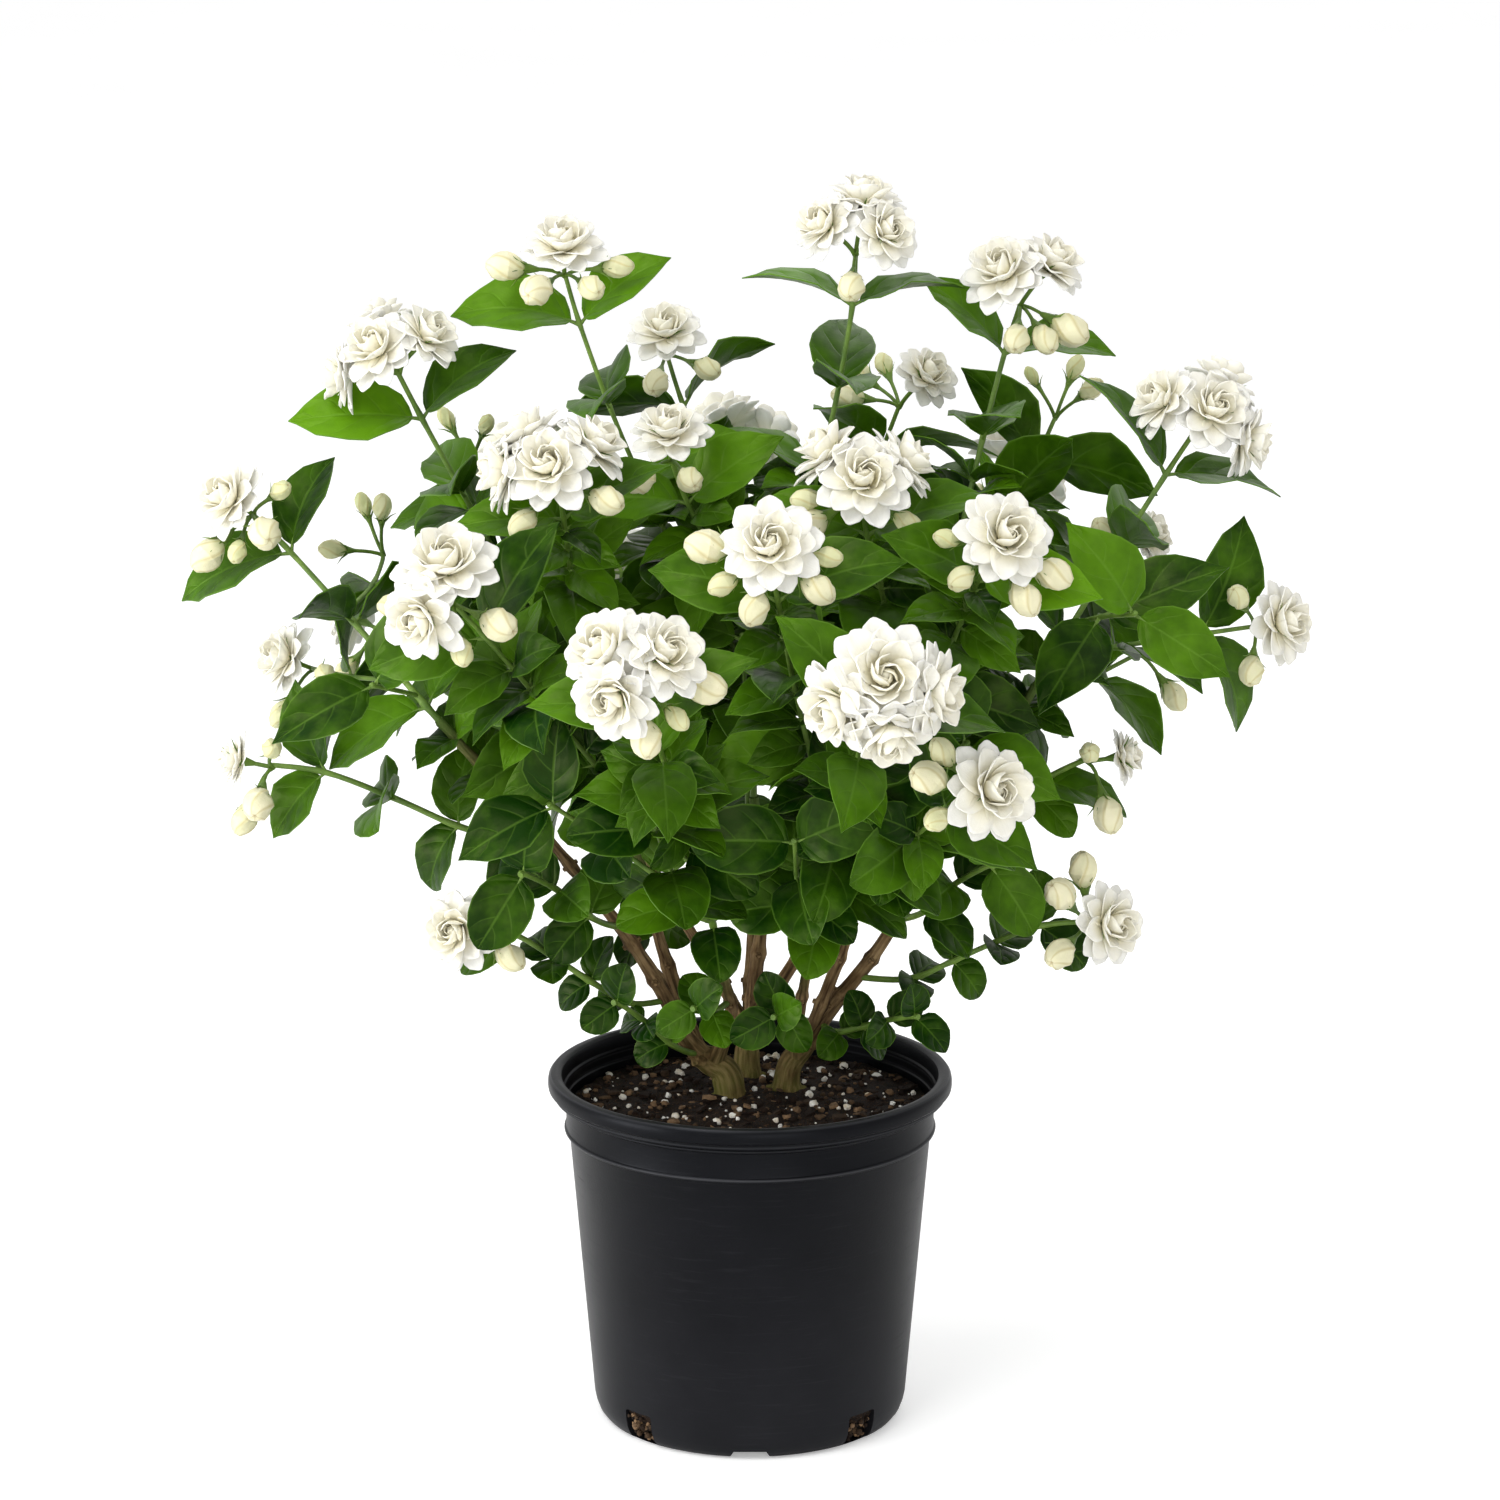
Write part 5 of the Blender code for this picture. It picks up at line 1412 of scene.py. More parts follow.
def plan_blooms(number, shoot, solids, heads, free):
    item, hub = shoot.spray, shoot.hub
    for k, (radius, way, base) in enumerate(bloom_places(item, hub, shoot.axis)):
        bloom = rosette(radius, base, way)
        solids.add_mesh(bloom)
        bloom.free()
        heads.append(HeadPlan(number, radius, way, base))
        top = base + way * (BLOOM_PROFILE[0][0][1] * radius - GAP)
        side = free_side(way)
        if not (item.centre and k == 0):
            place = max(free, key=lambda f: side_way(shoot.rings[f[0]], f[1]).dot(way) - 0.1 * f[0])
            free.remove(place)
        solids.append(tree_of([square(hub + way * 0.004, way, side, CALYX_RADIUS * 0.6),
                               square(top, way, side, CALYX_RADIUS)]))


def plan_buds(number, shoot, solids, buds):
    item, hub = shoot.spray, shoot.hub
    for k, clock in enumerate(item.buds):
        size = scatter(number * 13 + k, 0.72, 1.08) * (1.0 if item.ring or item.centre else 0.75)
        tilt = 78 if item.centre or item.ring else 38
        for shift, lean in BUD_SHIFTS:
            way = clock_way(shoot.axis, clock + shift, tilt + lean)
            rings, tip = bud_rings(size, BUD_STALK, hub, way)
            side = free_side(way)
            body = tree_of([square(hub + way * 0.006, way, side, 0.0012), *rings], tip)
            if not solids.blocked(body):
                buds.append(BudPlan(number, way, size, number * 13 + k))
                solids.append(body)
                break


def plan_sprouts(shoots, solids):
    """The blooms, the buds and the pairs of leaves that each shoot bears, in their places."""
    heads, buds, leaves = [], [], []
    for shoot in shoots:
        solids.append(tree_of([square(*ring) for ring in shoot.rings]))
    for number, shoot in enumerate(shoots):
        free = [(band, side) for band in (0, 1) for side in range(4)]
        plan_blooms(number, shoot, solids, heads, free)
        plan_buds(number, shoot, solids, buds)
    sites = []
    for number, shoot in enumerate(shoots):
        for pair, band in enumerate(shoot.pairs):
            first = 3 if pair % 2 == 0 else 0
            for side in (first, (first + 2) % 4):
                sites.append((pair, number, band, side, number * 31 + pair * 2 + (side > 1)))
    for pair, number, band, side, index in sorted(sites):
        for bend in LEAF_BENDS:
            leaf = place_leaf(shoots[number], band, pair, side, index, bend)
            if not solids.blocked(leaf_tree(leaf, 2 * LEAF_THICKNESS, PROBE_START)):
                solids.append(leaf_tree(leaf, 2 * LEAF_THICKNESS, PROBE_START / 2))
                leaves.append(LeafPlan(number, *leaf, index))
                break
    return heads, buds, leaves


solids = Solids()
coarse_barks = {}
for node_name in ("pot", "soil", *TRUNKS):
    work = bmesh.new()
    work.from_mesh(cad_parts[node_name].data)
    bmesh.ops.remove_doubles(work, verts=work.verts, dist=1e-6)
    solids.add_mesh(work)
    coarse_barks[node_name] = solids[-1][0]
    work.free()
shoots = grow_shoots(routes, coarse_barks)
heads, bud_plans, leaf_plans = plan_sprouts(shoots, solids)
print("shoots", len(shoots), "blooms", len(heads), "buds", len(bud_plans), "leaves", len(leaf_plans))

# %% [markdown]
# The main leaves leave the heart of the bush open, while the real one is dark and crowded there. So
# smaller leaves are added between the pairs and on the green ends of the limbs, where the plan's search
# trees still leave room. The trees hold coarse shapes, so many of the fine leaves still pass through
# one another deep in the bush, where the outer ones hide most of it.

# %% Small inner leaves
INNER_FIRST = 5000
INNER_SIZE = 0.66
INNER_STEP = 0.0115
INNER_SPREAD = 62
LIMB_LEAF_START = 0.42
HEART_LOW = 0.335
HEART_HIGH = 0.500
HEART_REACH = 0.165


def in_heart(place):
    """Whether a place lies inside the bush, under its outer leaves and above its bare limbs."""
    return HEART_LOW < place.z < HEART_HIGH and place.xy.length < HEART_REACH


def inner_sites(shoots):
    """Places between the leaf pairs of the shoots, and on the outer part of the woody limbs."""
    sites = []
    for number, shoot in enumerate(shoots):
        points = [ring.point for ring in shoot.rings]
        pair_points = [points[band] for band in shoot.pairs]
        travelled = 0.0
        for k in range(1, len(points)):
            gap = (points[k] - points[k - 1]).length
            steps = int(gap / INNER_STEP)
            for s in range(steps):
                place = points[k - 1].lerp(points[k], (s + 0.5) / steps)
                near = min([(place - p).length for p in pair_points] + [1.0])
                if in_heart(place) and travelled > 0.006 and near > 0.004:
                    sites.append((number, place, shoot.rings[k].way, shoot.rings[k].side, TWIG_RADIUS))
            travelled += gap
    for limb_name, (route, radii) in routes.items():
        fine = through_points(route, 40)
        for k in range(int(40 * LIMB_LEAF_START), 39, 2):
            if not in_heart(fine[k]):
                continue
            way = (fine[k + 1] - fine[k]).normalized()
            home = next(n for n, s in enumerate(shoots) if BRANCHES[s.branch].limb == limb_name)
            sites.append((home, fine[k], way, way.orthogonal().normalized(), radii[-1] * 1.2))
    return sites


def add_inner_leaves(shoots, solids, leaves):
    for number, (home, place, way, side, radius) in enumerate(inner_sites(shoots)):
        index = INNER_FIRST + 7 * number
        for quarter in (0, 2, 1, 3):
            across = Matrix.Rotation(tau / 8 + quarter * tau / 4 + 0.4 * scatter(index), 3, way) @ side
            length, width = leaf_size(place.z, index)
            size = INNER_SIZE * scatter(index + 0.4, 0.8, 1.1)
            for twist in (0, 40, -40):
                spread = radians(INNER_SPREAD + 14 * scatter(index + quarter))
                sizes = (length * size, width * size)
                leaf = lit_leaf(place, way, across, spread, twist, index + quarter, sizes)
                body = leaf_tree(leaf, LEAF_THICKNESS, PROBE_START + radius)
                if not solids.blocked(body):
                    solids.append(body)
                    leaves.append(LeafPlan(home, *leaf, index + quarter))
                    break


add_inner_leaves(shoots, solids, leaf_plans)
print("leaves with the inner ones", len(leaf_plans))

# %% [markdown]
# A jasmine leaf is oval with a rounded foot and a drawn-out tip. Its two halves fold up a little from
# the midrib, and the blade arches over along its length. It starts as a small grid: the columns are
# lifted for the fold, each row is narrowed to the outline, and the rows are turned one after another
# about the row before, which bends the blade evenly. A Solidify modifier gives it its thickness and
# gives the underside its own, paler finish. Some leaves droop more than others, so a few masters are
# made, with gentle waves in their margins.

# %% Leaf masters
LEAF_OUTLINES = {
    "pointed": ((0.07, 0.06), (0.10, 0.32), (0.16, 0.60), (0.26, 0.86), (0.39, 1.00), (0.53, 0.97),
                (0.66, 0.81), (0.78, 0.56), (0.87, 0.30), (0.94, 0.12), (1.00, 0.0)),
    "round": ((0.06, 0.06), (0.085, 0.34), (0.14, 0.64), (0.24, 0.88), (0.38, 1.00), (0.54, 1.00),
              (0.69, 0.90), (0.82, 0.70), (0.92, 0.42), (0.975, 0.18), (1.00, 0.0)),
}
LEAF_ARCHES = (0.47, 0.60, 0.74, 0.90)
LEAF_WAVES_AND_TWISTS = ((0.014, 14), (-0.026, -20))
FOLD_LIFT = 0.17
BLADE_THICKNESS = 0.011
ALMOST_NOTHING = 0.001


def grid_rows(mesh, count):
    """The grid's points row by row, from the foot to the tip, each row from left to right."""
    rows = [[] for _ in range(count)]
    for v in mesh.vertices:
        rows[round((v.co.y + 0.5) * (count - 1))].append(v.index)
    return [sorted(row, key=lambda index: mesh.vertices[index].co.x) for row in rows]


def start_blade(columns, outline):
    """A grid in edit mode, one unit square, and its rows."""
    bpy.ops.mesh.primitive_grid_add(x_subdivisions=columns, y_subdivisions=len(outline) - 1, size=1)
    blade = bpy.context.object
    rows = grid_rows(blade.data, len(outline))
    start_editing(blade)
    return blade, rows


def lift_columns(inner, outer):
    """Lifts the columns halfway out, and the two at the margins."""
    pick(lambda co: abs(abs(co.x) - 0.25) < 0.01)
    move_points(z=inner)
    pick(lambda co: abs(co.x) > 0.45)
    move_points(z=outer)


def shape_rows(rows, outline, push=0.0):
    """Narrows each row to the outline, slides it to its place, and pushes its middle to the tip."""
    for k, (row, (along, spread)) in enumerate(zip(rows, outline)):
        now = k / (len(rows) - 1) - 0.5
        pick(row)
        share = max(spread, ALMOST_NOTHING)
        scale_points(share, 1, share, (0, now, 0))
        move_points(y=along - now)
        if push:
            pick(row[1:-1])
            move_points(y=0.75 * push * k / (len(rows) - 1))
            pick(row[2:-2])
            move_points(y=0.25 * push * k / (len(rows) - 1))


def bend_rows(blade, rows, outline, degrees, twist=0.0):
    """Bends the blade downwards by turning all the rows beyond each one about its middle point."""
    middle = len(rows[0]) // 2
    before = 0.0
    for k in range(len(rows)):
        start = 0.0 if k == 0 else outline[k - 1][0]
        halfway = (start + outline[k][0]) / 2
        hinge = Vector((0, 0, 0))
        if k > 0:
            hinge = bmesh_point(blade, rows[k - 1][middle])
        pick([index for row in rows[k:] for index in row])
        turn_points(-degrees * (halfway - before), "X", tuple(hinge))
        turn_points(twist * (halfway - before), "Y", tuple(hinge))
        before = halfway


def bmesh_point(blade, index):
    work = bmesh.from_edit_mesh(blade.data)
    work.verts.ensure_lookup_table()
    return work.verts[index].co.copy()


def thicken(blade, thickness, weld, two_faces):
    """Closes the tip, smooths the blade and gives it a wall below its face."""
    pick_all()
    bpy.ops.mesh.remove_doubles(threshold=weld)
    stop_editing()
    wall = blade.modifiers.new("wall", "SOLIDIFY")
    wall.thickness = thickness
    wall.offset = -1.0
    if two_faces:
        wall.material_offset = wall.material_offset_rim = 1
    apply_modifiers(blade)
    return smooth(blade, 70 if two_faces else None)


def make_leaf(form, arch, wave, twist):
    outline = LEAF_OUTLINES[form]
    leaf, rows = start_blade(4, outline)
    lift_columns(0.25 * FOLD_LIFT * 1.25, 0.5 * FOLD_LIFT * 0.92)
    for k in range(2, len(rows) - 2):
        for side in (0, -1):
            pick([rows[k][side]])
            move_points(z=wave * sin(1.9 * k + (1.3 if side else 0)))
    shape_rows(rows, outline)
    bend_rows(leaf, rows, outline, arch * 180 / pi, twist)
    return thicken(leaf, BLADE_THICKNESS, 0.002, True)


leaf_upper, leaf_under = [bpy.data.materials.new(name) for name in ("leaf_upper_face", "leaf_under_face")]
leaf_masters = []
for form in LEAF_OUTLINES:
    for arch in LEAF_ARCHES:
        for wave, twist in LEAF_WAVES_AND_TWISTS:
            master = make_leaf(form, arch, wave, twist)
            master.data.materials.append(leaf_upper)
            master.data.materials.append(leaf_under)
            leaf_masters.append((form, arch, master))
print("leaf masters", len(leaf_masters), "faces each", len(leaf_masters[0][2].data.polygons))

# %% [markdown]
# A petal is made in the same way as a leaf, from a smaller grid: cupped across like a spoon, widest
# past its middle, with a blunt point. The outer petals of a bloom arch outwards, and the inner ones
# close over the heart, so five masters differ in how far and which way they bend.

# %% Petal masters
PETAL_OUTLINE = ((0.0, 0.36), (0.18, 0.66), (0.38, 0.92), (0.57, 1.00), (0.75, 0.96), (0.885, 0.76),
                 (0.955, 0.40))
PETAL_BOW = 0.07
PETAL_THICKNESS = 0.028
PETAL_FORMS = {"spread": (12, 0.14), "cupped": (16, 0.22), "upright": (-14, 0.32), "closing": (-54, 0.38),
               "heart": (-74, 0.34)}


def make_petal(bend, cup):
    petal, rows = start_blade(4, PETAL_OUTLINE)
    lift_columns(0.25 * 0.5 * cup, 0.5 * cup)
    shape_rows(rows, PETAL_OUTLINE, PETAL_BOW)
    bend_rows(petal, rows, PETAL_OUTLINE, bend)
    return thicken(petal, PETAL_THICKNESS, 0.004, False)


petal_masters = {name: make_petal(*form) for name, form in PETAL_FORMS.items()}
print("petal masters", len(petal_masters), "faces each", len(petal_masters["spread"].data.polygons))

# %% [markdown]
# A double bloom opens like a small rose: nine broad petals lie nearly flat, four more layers stand
# steeper and shorter towards the heart, each turned so that its petals sit over the gaps below, and a
# wound knot closes the middle. The inner petals also roll a little sideways, so that each tucks under
# the next like a swirl. Four masters are enough, because each bloom on the bush also faces its own
# way. The bloom's radius is 1 here, and its foot stands at the origin.

# %% Bloom masters
BLOOM_LAYERS = (
    ("spread", 9, 10, 0.97, 0.05, 0.12, 0.56, 3),
    ("cupped", 8, 28, 0.91, 0.05, 0.15, 0.60, 4),
    ("upright", 7, 44, 0.83, 0.06, 0.17, 0.68, 6),
    ("closing", 5, 50, 0.76, 0.06, 0.18, 0.66, 10),
    ("heart", 4, 52, 0.62, 0.03, 0.20, 0.56, 11),
)
KNOT_RADIUS = 0.135
KNOT_HEIGHT = 0.52


def make_knot():
    """The closed petals in the very middle: a small ball whose columns are pleated and wound up."""
    bpy.ops.mesh.primitive_uv_sphere_add(segments=12, ring_count=7, radius=1)
    knot = bpy.context.object
    start_editing(knot)
    pick(lambda co: co.xy.length > 0.05 and round(atan2(co.y, co.x) / (tau / 12)) % 3 == 0)
    scale_points(0.80, 0.80, 1, (0, 0, 0))
    for level in (-0.5, -0.1, 0.3, 0.7):
        pick(lambda co: co.z > level)
        turn_points(20, "Z", (0, 0, 0))
    pick_all()
    scale_points(KNOT_RADIUS, KNOT_RADIUS, 1.3 * KNOT_RADIUS, (0, 0, 0))
    stop_editing()
    return smooth(knot)


def make_bloom(seed):
    parts = [copy_of(knot_master, Matrix.Translation((0, 0, KNOT_HEIGHT)), heart=0.8, shade=0.5)]
    for layer, (form, count, slope, length, foot_radius, foot_height, width, roll) in enumerate(BLOOM_LAYERS):
        for k in range(count):
            index = seed * 97 + layer * 13 + k
            turn = tau * (k + 0.5 * (layer % 2) + 0.11 * scatter(index)) / count + 0.7 * layer
            size = length * (1 + 0.07 * scatter(index + 0.3))
            place = Matrix.Rotation(turn, 4, "Z") @ Matrix.Translation((0, foot_radius, foot_height))
            place = place @ Matrix.Rotation(radians(slope + 6 * scatter(index + 0.6)), 4, "X")
            place = place @ Matrix.Rotation(radians(roll + 4 * scatter(index + 0.8)), 4, "Y")
            place = place @ Matrix.Diagonal((size * width, size, size, 1))
            parts.append(copy_of(petal_masters[form], place, heart=layer / (len(BLOOM_LAYERS) - 1),
                                 shade=scatter(index + 0.9, 0, 1)))
    return join(parts)


knot_master = make_knot()
bloom_masters = [make_bloom(seed) for seed in range(4)]
print("bloom masters", len(bloom_masters), "petals", sum(layer[1] for layer in BLOOM_LAYERS),
      "box", [round(c, 2) for c in bloom_masters[0].dimensions])

# %% [markdown]
# A bud is a tight egg of petals that wrap round one another in a spiral. A ball's columns do this
# well: each fourth column is drawn outwards and the next one inwards, which makes the edge of an
# overlapping petal, and then each ring is turned a little further than the one below, so the edges
# wind up to a small dimple at the top.

# %% Bud master
BUD_COLUMNS = 20
BUD_RINGS = 10
BUD_PETALS = 5
BUD_TWIST = 13


def make_bud():
    bpy.ops.mesh.primitive_uv_sphere_add(segments=BUD_COLUMNS, ring_count=BUD_RINGS, radius=1)
    bud = bpy.context.object
    column = tau / BUD_COLUMNS
    start_editing(bud)
    for step, reach in enumerate((1.08, 1.035, 0.985, 0.93)):
        pick(lambda co: co.xy.length > 0.05 and round(atan2(co.y, co.x) / column) % 4 == step)
        scale_points(reach, reach, 1, (0, 0, 0))
    for ring in range(3, BUD_RINGS):
        level = -cos(pi * ring / BUD_RINGS)
        pick(lambda co: co.z > level - 0.01)
        turn_points(BUD_TWIST, "Z", (0, 0, 0))
    for level, share in ((-0.2, 0.94), (-0.5, 0.92), (-0.75, 0.88), (-0.9, 0.90)):
        pick(lambda co: co.z < level)
        scale_points(share, share, 1, (0, 0, 0))
    pick(lambda co: co.z > 0.75)
    scale_points(0.88, 0.88, 1, (0, 0, 0))
    pick(lambda co: co.z > 0.99)
    move_points(z=-0.16)
    pick_all()
    scale_points(1, 1, 0.5, (0, 0, 0))
    move_points(z=0.5)
    stop_editing()
    return smooth(bud, 38)


bud_master = make_bud()
print("bud master faces", len(bud_master.data.polygons))

# %% [markdown]
# Under each bloom and bud sits a calyx: a small green cup that ends in six thin, pointed lobes. The
# cup is a short cone with its mouth opened out, and one lobe is a long four-sided spike that is
# copied round the mouth.

# %% Calyx master
LOBES = 6


def make_calyx():
    bpy.ops.mesh.primitive_cone_add(vertices=10, radius1=0.36, radius2=1.0, depth=2.4, location=(0, 0, -0.4))
    cup = bpy.context.object
    bpy.ops.object.transform_apply()
    bpy.ops.mesh.primitive_cone_add(vertices=4, radius1=0.26, radius2=0.03, depth=3.4, location=(0, 0, 1.7))
    lobe = bpy.context.object
    bpy.ops.object.transform_apply()
    start_editing(lobe)
    pick_all()
    bpy.ops.mesh.subdivide(number_cuts=1)
    pick(lambda co: co.z > 1.2)
    turn_points(-16, "X", (0, 0, 1.7))
    stop_editing()
    parts = [cup]
    for k in range(LOBES):
        place = Matrix.Rotation(tau * k / LOBES, 4, "Z") @ Matrix.Translation((0, 0.74, 0.45))
        place = place @ Matrix.Rotation(radians(-30 + 9 * scatter(k)), 4, "X")
        parts.append(copy_of(lobe, place @ Matrix.Scale(scatter(k + 0.5, 0.8, 1.1), 4)))
    discard(lobe)
    return smooth(join(parts), 45)


calyx_master = make_calyx()
print("calyx master faces", len(calyx_master.data.polygons))

# %% [markdown]
# Leaves are glossy and dark, with a sunken midrib and about seven pairs of side veins that sweep
# towards the tip. The veins follow the blade, so they are drawn on its UV map: u runs across and v
# runs from the foot to the tip. The group gives a mask of the veins and the soft swelling of the blade
# between them, and the upper face, the underside and the petals use it with their own numbers.

# %% The veins group
veins, veins_in, veins_out = new_group("veins_of_a_blade", {"Pairs": 5.0, "Slant": 1.2, "Fineness": 0.07},
                                       ("Vein", "Swelling", "Along", "Across"))


def own_map(tree):
    """How far across (0) and how far along (1) a point lies on the piece's own UV map."""
    flat = put(tree, "ShaderNodeUVMap", uv_map="UVMap").outputs[0]
    return put(tree, "ShaderNodeSeparateXYZ", {0: flat}).outputs


sheet = own_map(veins)
across = times(veins, maths(veins, "ABSOLUTE", maths(veins, "SUBTRACT", sheet[0], 0.5)), 2.0)
sweep = times(veins, maths(veins, "POWER", across, 1.25), veins_in["Slant"])
shifted = times(veins, maths(veins, "GREATER_THAN", sheet[0], 0.5), 0.4)
rows = maths(veins, "MULTIPLY_ADD", sheet[1], veins_in["Pairs"], shifted)
phase = maths(veins, "FRACT", maths(veins, "SUBTRACT", rows, sweep))
off_vein = maths(veins, "ABSOLUTE", maths(veins, "SUBTRACT", phase, 0.5))
off_vein = maths(veins, "SUBTRACT", 0.5, off_vein)
side_veins = remap(veins, off_vein, 0.0, veins_in["Fineness"], 1.0, 0.0)
side_veins = times(veins, side_veins, remap(veins, across, 0.35, 0.95, 0.70, 0.0))
midrib = remap(veins, across, 0.020, 0.065, 1.0, 0.0)
veins.links.new(maths(veins, "MAXIMUM", midrib, side_veins), veins_out["Vein"])
swelling = times(veins, maths(veins, "SINE", times(veins, off_vein, pi)),
                 remap(veins, across, 0.0, 0.25, 0.0, 1.0))
swelling = times(veins, swelling, remap(veins, across, 0.60, 1.0, 1.0, 0.2))
veins.links.new(swelling, veins_out["Swelling"])
veins.links.new(sheet[1], veins_out["Along"])
veins.links.new(across, veins_out["Across"])
print("group", veins.name)

# %% [markdown]
# Each leaf carries a shade from 0, dark, to 1, fresh and light: partly the leaf's age, and partly
# painted shade that darkens the leaves low and deep in the bush. The upper face mixes
# its greens by that shade and a few soft patches, with paler veins and a thin pale margin. The
# underside is lighter and duller, and its veins stand out instead of lying in grooves.

# %% Leaf finishes
def leaf_finish(name, dark, young_and_lit, vein_colour, vein_share, gloss, groove, **constants):
    _, tree, shader = new_finish(name, **constants)
    blade = use_group(tree, veins, Pairs=5.0, Slant=1.2, Fineness=0.06)
    marks = marks_on(tree, 55.0, 1400.0)
    # The shade mixes age with painted shade: low, inner leaves get the darkest greens.
    age_and_shade = maths(tree, "MULTIPLY_ADD", maths(tree, "SUBTRACT", marks["Patches"], 0.5), 0.35, shade_of(tree))
    colour = blend_colours(tree, remap(tree, age_and_shade, 0, 1), dark, young_and_lit)
    edge = remap(tree, blade["Across"], 0.94, 1.0, 0.0, 0.5)
    pale = maths(tree, "MAXIMUM", times(tree, blade["Vein"], vein_share), edge)
    colour = blend_colours(tree, pale, colour, vein_colour)
    rough = maths(tree, "MULTIPLY_ADD", marks["Grain"], 0.12, gloss)
    net = put(tree, "ShaderNodeTexVoronoi", {"Vector": object_place(tree), "Scale": 420.0},
              feature="DISTANCE_TO_EDGE").outputs[0]
    relief = maths(tree, "MULTIPLY_ADD", remap(tree, net, 0.0, 0.35), 0.05, blade["Swelling"])
    height = maths(tree, "MULTIPLY_ADD", blade["Vein"], groove, relief)
    wire(tree, shader, colour, rough, height, 0.42, 0.0011)


leaf_finish("leaf_upper_face", (0.0035, 0.0260, 0.0008), (0.0930, 0.2350, 0.0040), (0.130, 0.270, 0.030),
            0.28, 0.32, -0.35, Specular_IOR_Level=0.19, Specular_Tint=(0.90, 1.0, 0.42, 1.0))
leaf_finish("leaf_under_face", (0.0400, 0.1050, 0.0140), (0.0950, 0.2300, 0.0240), (0.170, 0.300, 0.070),
            0.50, 0.50, 0.5, Specular_IOR_Level=0.12, Specular_Tint=(0.90, 1.0, 0.42, 1.0))
print("leaf finishes", 2)

# %% [markdown]
# Stalks and shoots are yellow-green and a little shiny.
# Petals are thin and waxy: white at their rims, ivory towards the foot and the heart, with faint
# lengthwise veins. The ivory is partly their own cream and partly painted warm shade in the creases
# between the petals. Buds are ivory with a green tint at the base, and each petal's edge is a little
# darker where the next one lies under it: painted shade in the crease of the overlap.

# %% Shoot, petal and bud finishes
shoot_finish, tree, shader = new_finish("shoot_green", Specular_IOR_Level=0.35)
marks = marks_on(tree, 80.0, 1200.0)
colour = blend_colours(tree, marks["Patches"], (0.080, 0.155, 0.020), (0.165, 0.275, 0.042))
wire(tree, shader, colour, remap(tree, marks["Grain"], 0, 1, 0.42, 0.60), marks["Grain"], 0.25, 0.0003)

petal_finish, tree, shader = new_finish("petal_white", Specular_IOR_Level=0.22, Subsurface_Weight=0.20,
                                        Subsurface_Radius=(1.0, 0.96, 0.84), Subsurface_Scale=0.002)
blade = use_group(tree, veins, Pairs=0.0, Slant=7.0, Fineness=0.30)
marks = marks_on(tree, 60.0, 700.0)
heart = shade_of(tree, "heart")
# Ivory towards the foot and the heart: the petals' own cream, and painted warm shade in the creases.
depth = maths(tree, "MULTIPLY_ADD", heart, 0.50, remap(tree, blade["Along"], 0.65, 0.0, 0.0, 0.65))
depth = maths(tree, "MULTIPLY_ADD", marks["Patches"], 0.10, depth)
colour = blend_colours(tree, remap(tree, depth, 0.05, 1.0), (0.882, 0.874, 0.828), (0.905, 0.838, 0.560))
colour = blend_colours(tree, times(tree, blade["Vein"], 0.12), colour, (0.76, 0.74, 0.64))
wire(tree, shader, colour, remap(tree, marks["Grain"], 0, 1, 0.42, 0.58),
     maths(tree, "MULTIPLY_ADD", blade["Vein"], 0.4, marks["Grain"]), 0.16, 0.0004)

bud_finish, tree, shader = new_finish("bud_ivory", Specular_IOR_Level=0.28, Subsurface_Weight=0.20,
                                      Subsurface_Radius=(1.0, 0.9, 0.6), Subsurface_Scale=0.002)
sheet = own_map(tree)
marks = marks_on(tree, 120.0, 900.0)
# The darker line along each petal's overlapping edge is painted shade in the crease.
fold = maths(tree, "FRACT", times(tree, sheet[0], float(BUD_PETALS)))
fold = remap(tree, maths(tree, "ABSOLUTE", maths(tree, "SUBTRACT", fold, 0.62)), 0.16, 0.0)
green = maths(tree, "MULTIPLY_ADD", shade_of(tree), 0.50, remap(tree, sheet[1], 0.40, 0.0, 0.0, 0.80))
green = maths(tree, "MULTIPLY_ADD", marks["Patches"], 0.14, green)
colour = blend_colours(tree, green, (0.800, 0.755, 0.530), (0.370, 0.460, 0.110))
colour = blend_colours(tree, times(tree, fold, 0.60), colour, (0.500, 0.420, 0.165))
colour = blend_colours(tree, remap(tree, sheet[1], 0.93, 1.0, 0.0, 0.8), colour, (0.340, 0.230, 0.070))
wire(tree, shader, colour, remap(tree, marks["Grain"], 0, 1, 0.42, 0.58), marks["Grain"], 0.20, 0.0004)
print("finishes for shoots, petals and buds", 3)

# %% [markdown]
# Now the bush is put together branch by branch. The shoots, the leaf stalks and the flower stalks of
# a branch are lines of one curve, swollen a little at each pair of leaves. A leaf picks the master
# whose arch is nearest to its own and is stretched to its length and width.

# %% Shoots, stalks and calyces
SHOOT_STEP = 0.004
NODE_SWELL = 0.30
CALYX_SIZE = 0.0036
BUD_CALYX_SIZE = 0.0033
BUD_SLIMNESS = 0.88
SIDE_OUT = 0.0062


def shoot_line(shoot):
    """A smooth line from the shoot's root to its tip, with its radii."""
    rings = list(reversed(shoot.rings))
    points = [shoot.start, *[ring.point for ring in rings]]
    keep = [points[0]]
    for point in points[1:]:
        if (point - keep[-1]).length > 0.0035:
            keep.append(point)
    keep[-1] = points[-1]
    count = max(6, int(line_length(keep) / SHOOT_STEP))
    route = through_points(keep, count)
    first, last = rings[0].radius * 1.10, rings[-1].radius * 1.0
    pair_points = [shoot.rings[band].point for band in shoot.pairs]
    radii = []
    for k, place in enumerate(route):
        near = min([(place - p).length for p in pair_points] + [1.0])
        swell = NODE_SWELL * exp(-(near / 0.0032) ** 2)
        radii.append((first + (last - first) * k / (count - 1)) * (1 + swell))
    return route, radii


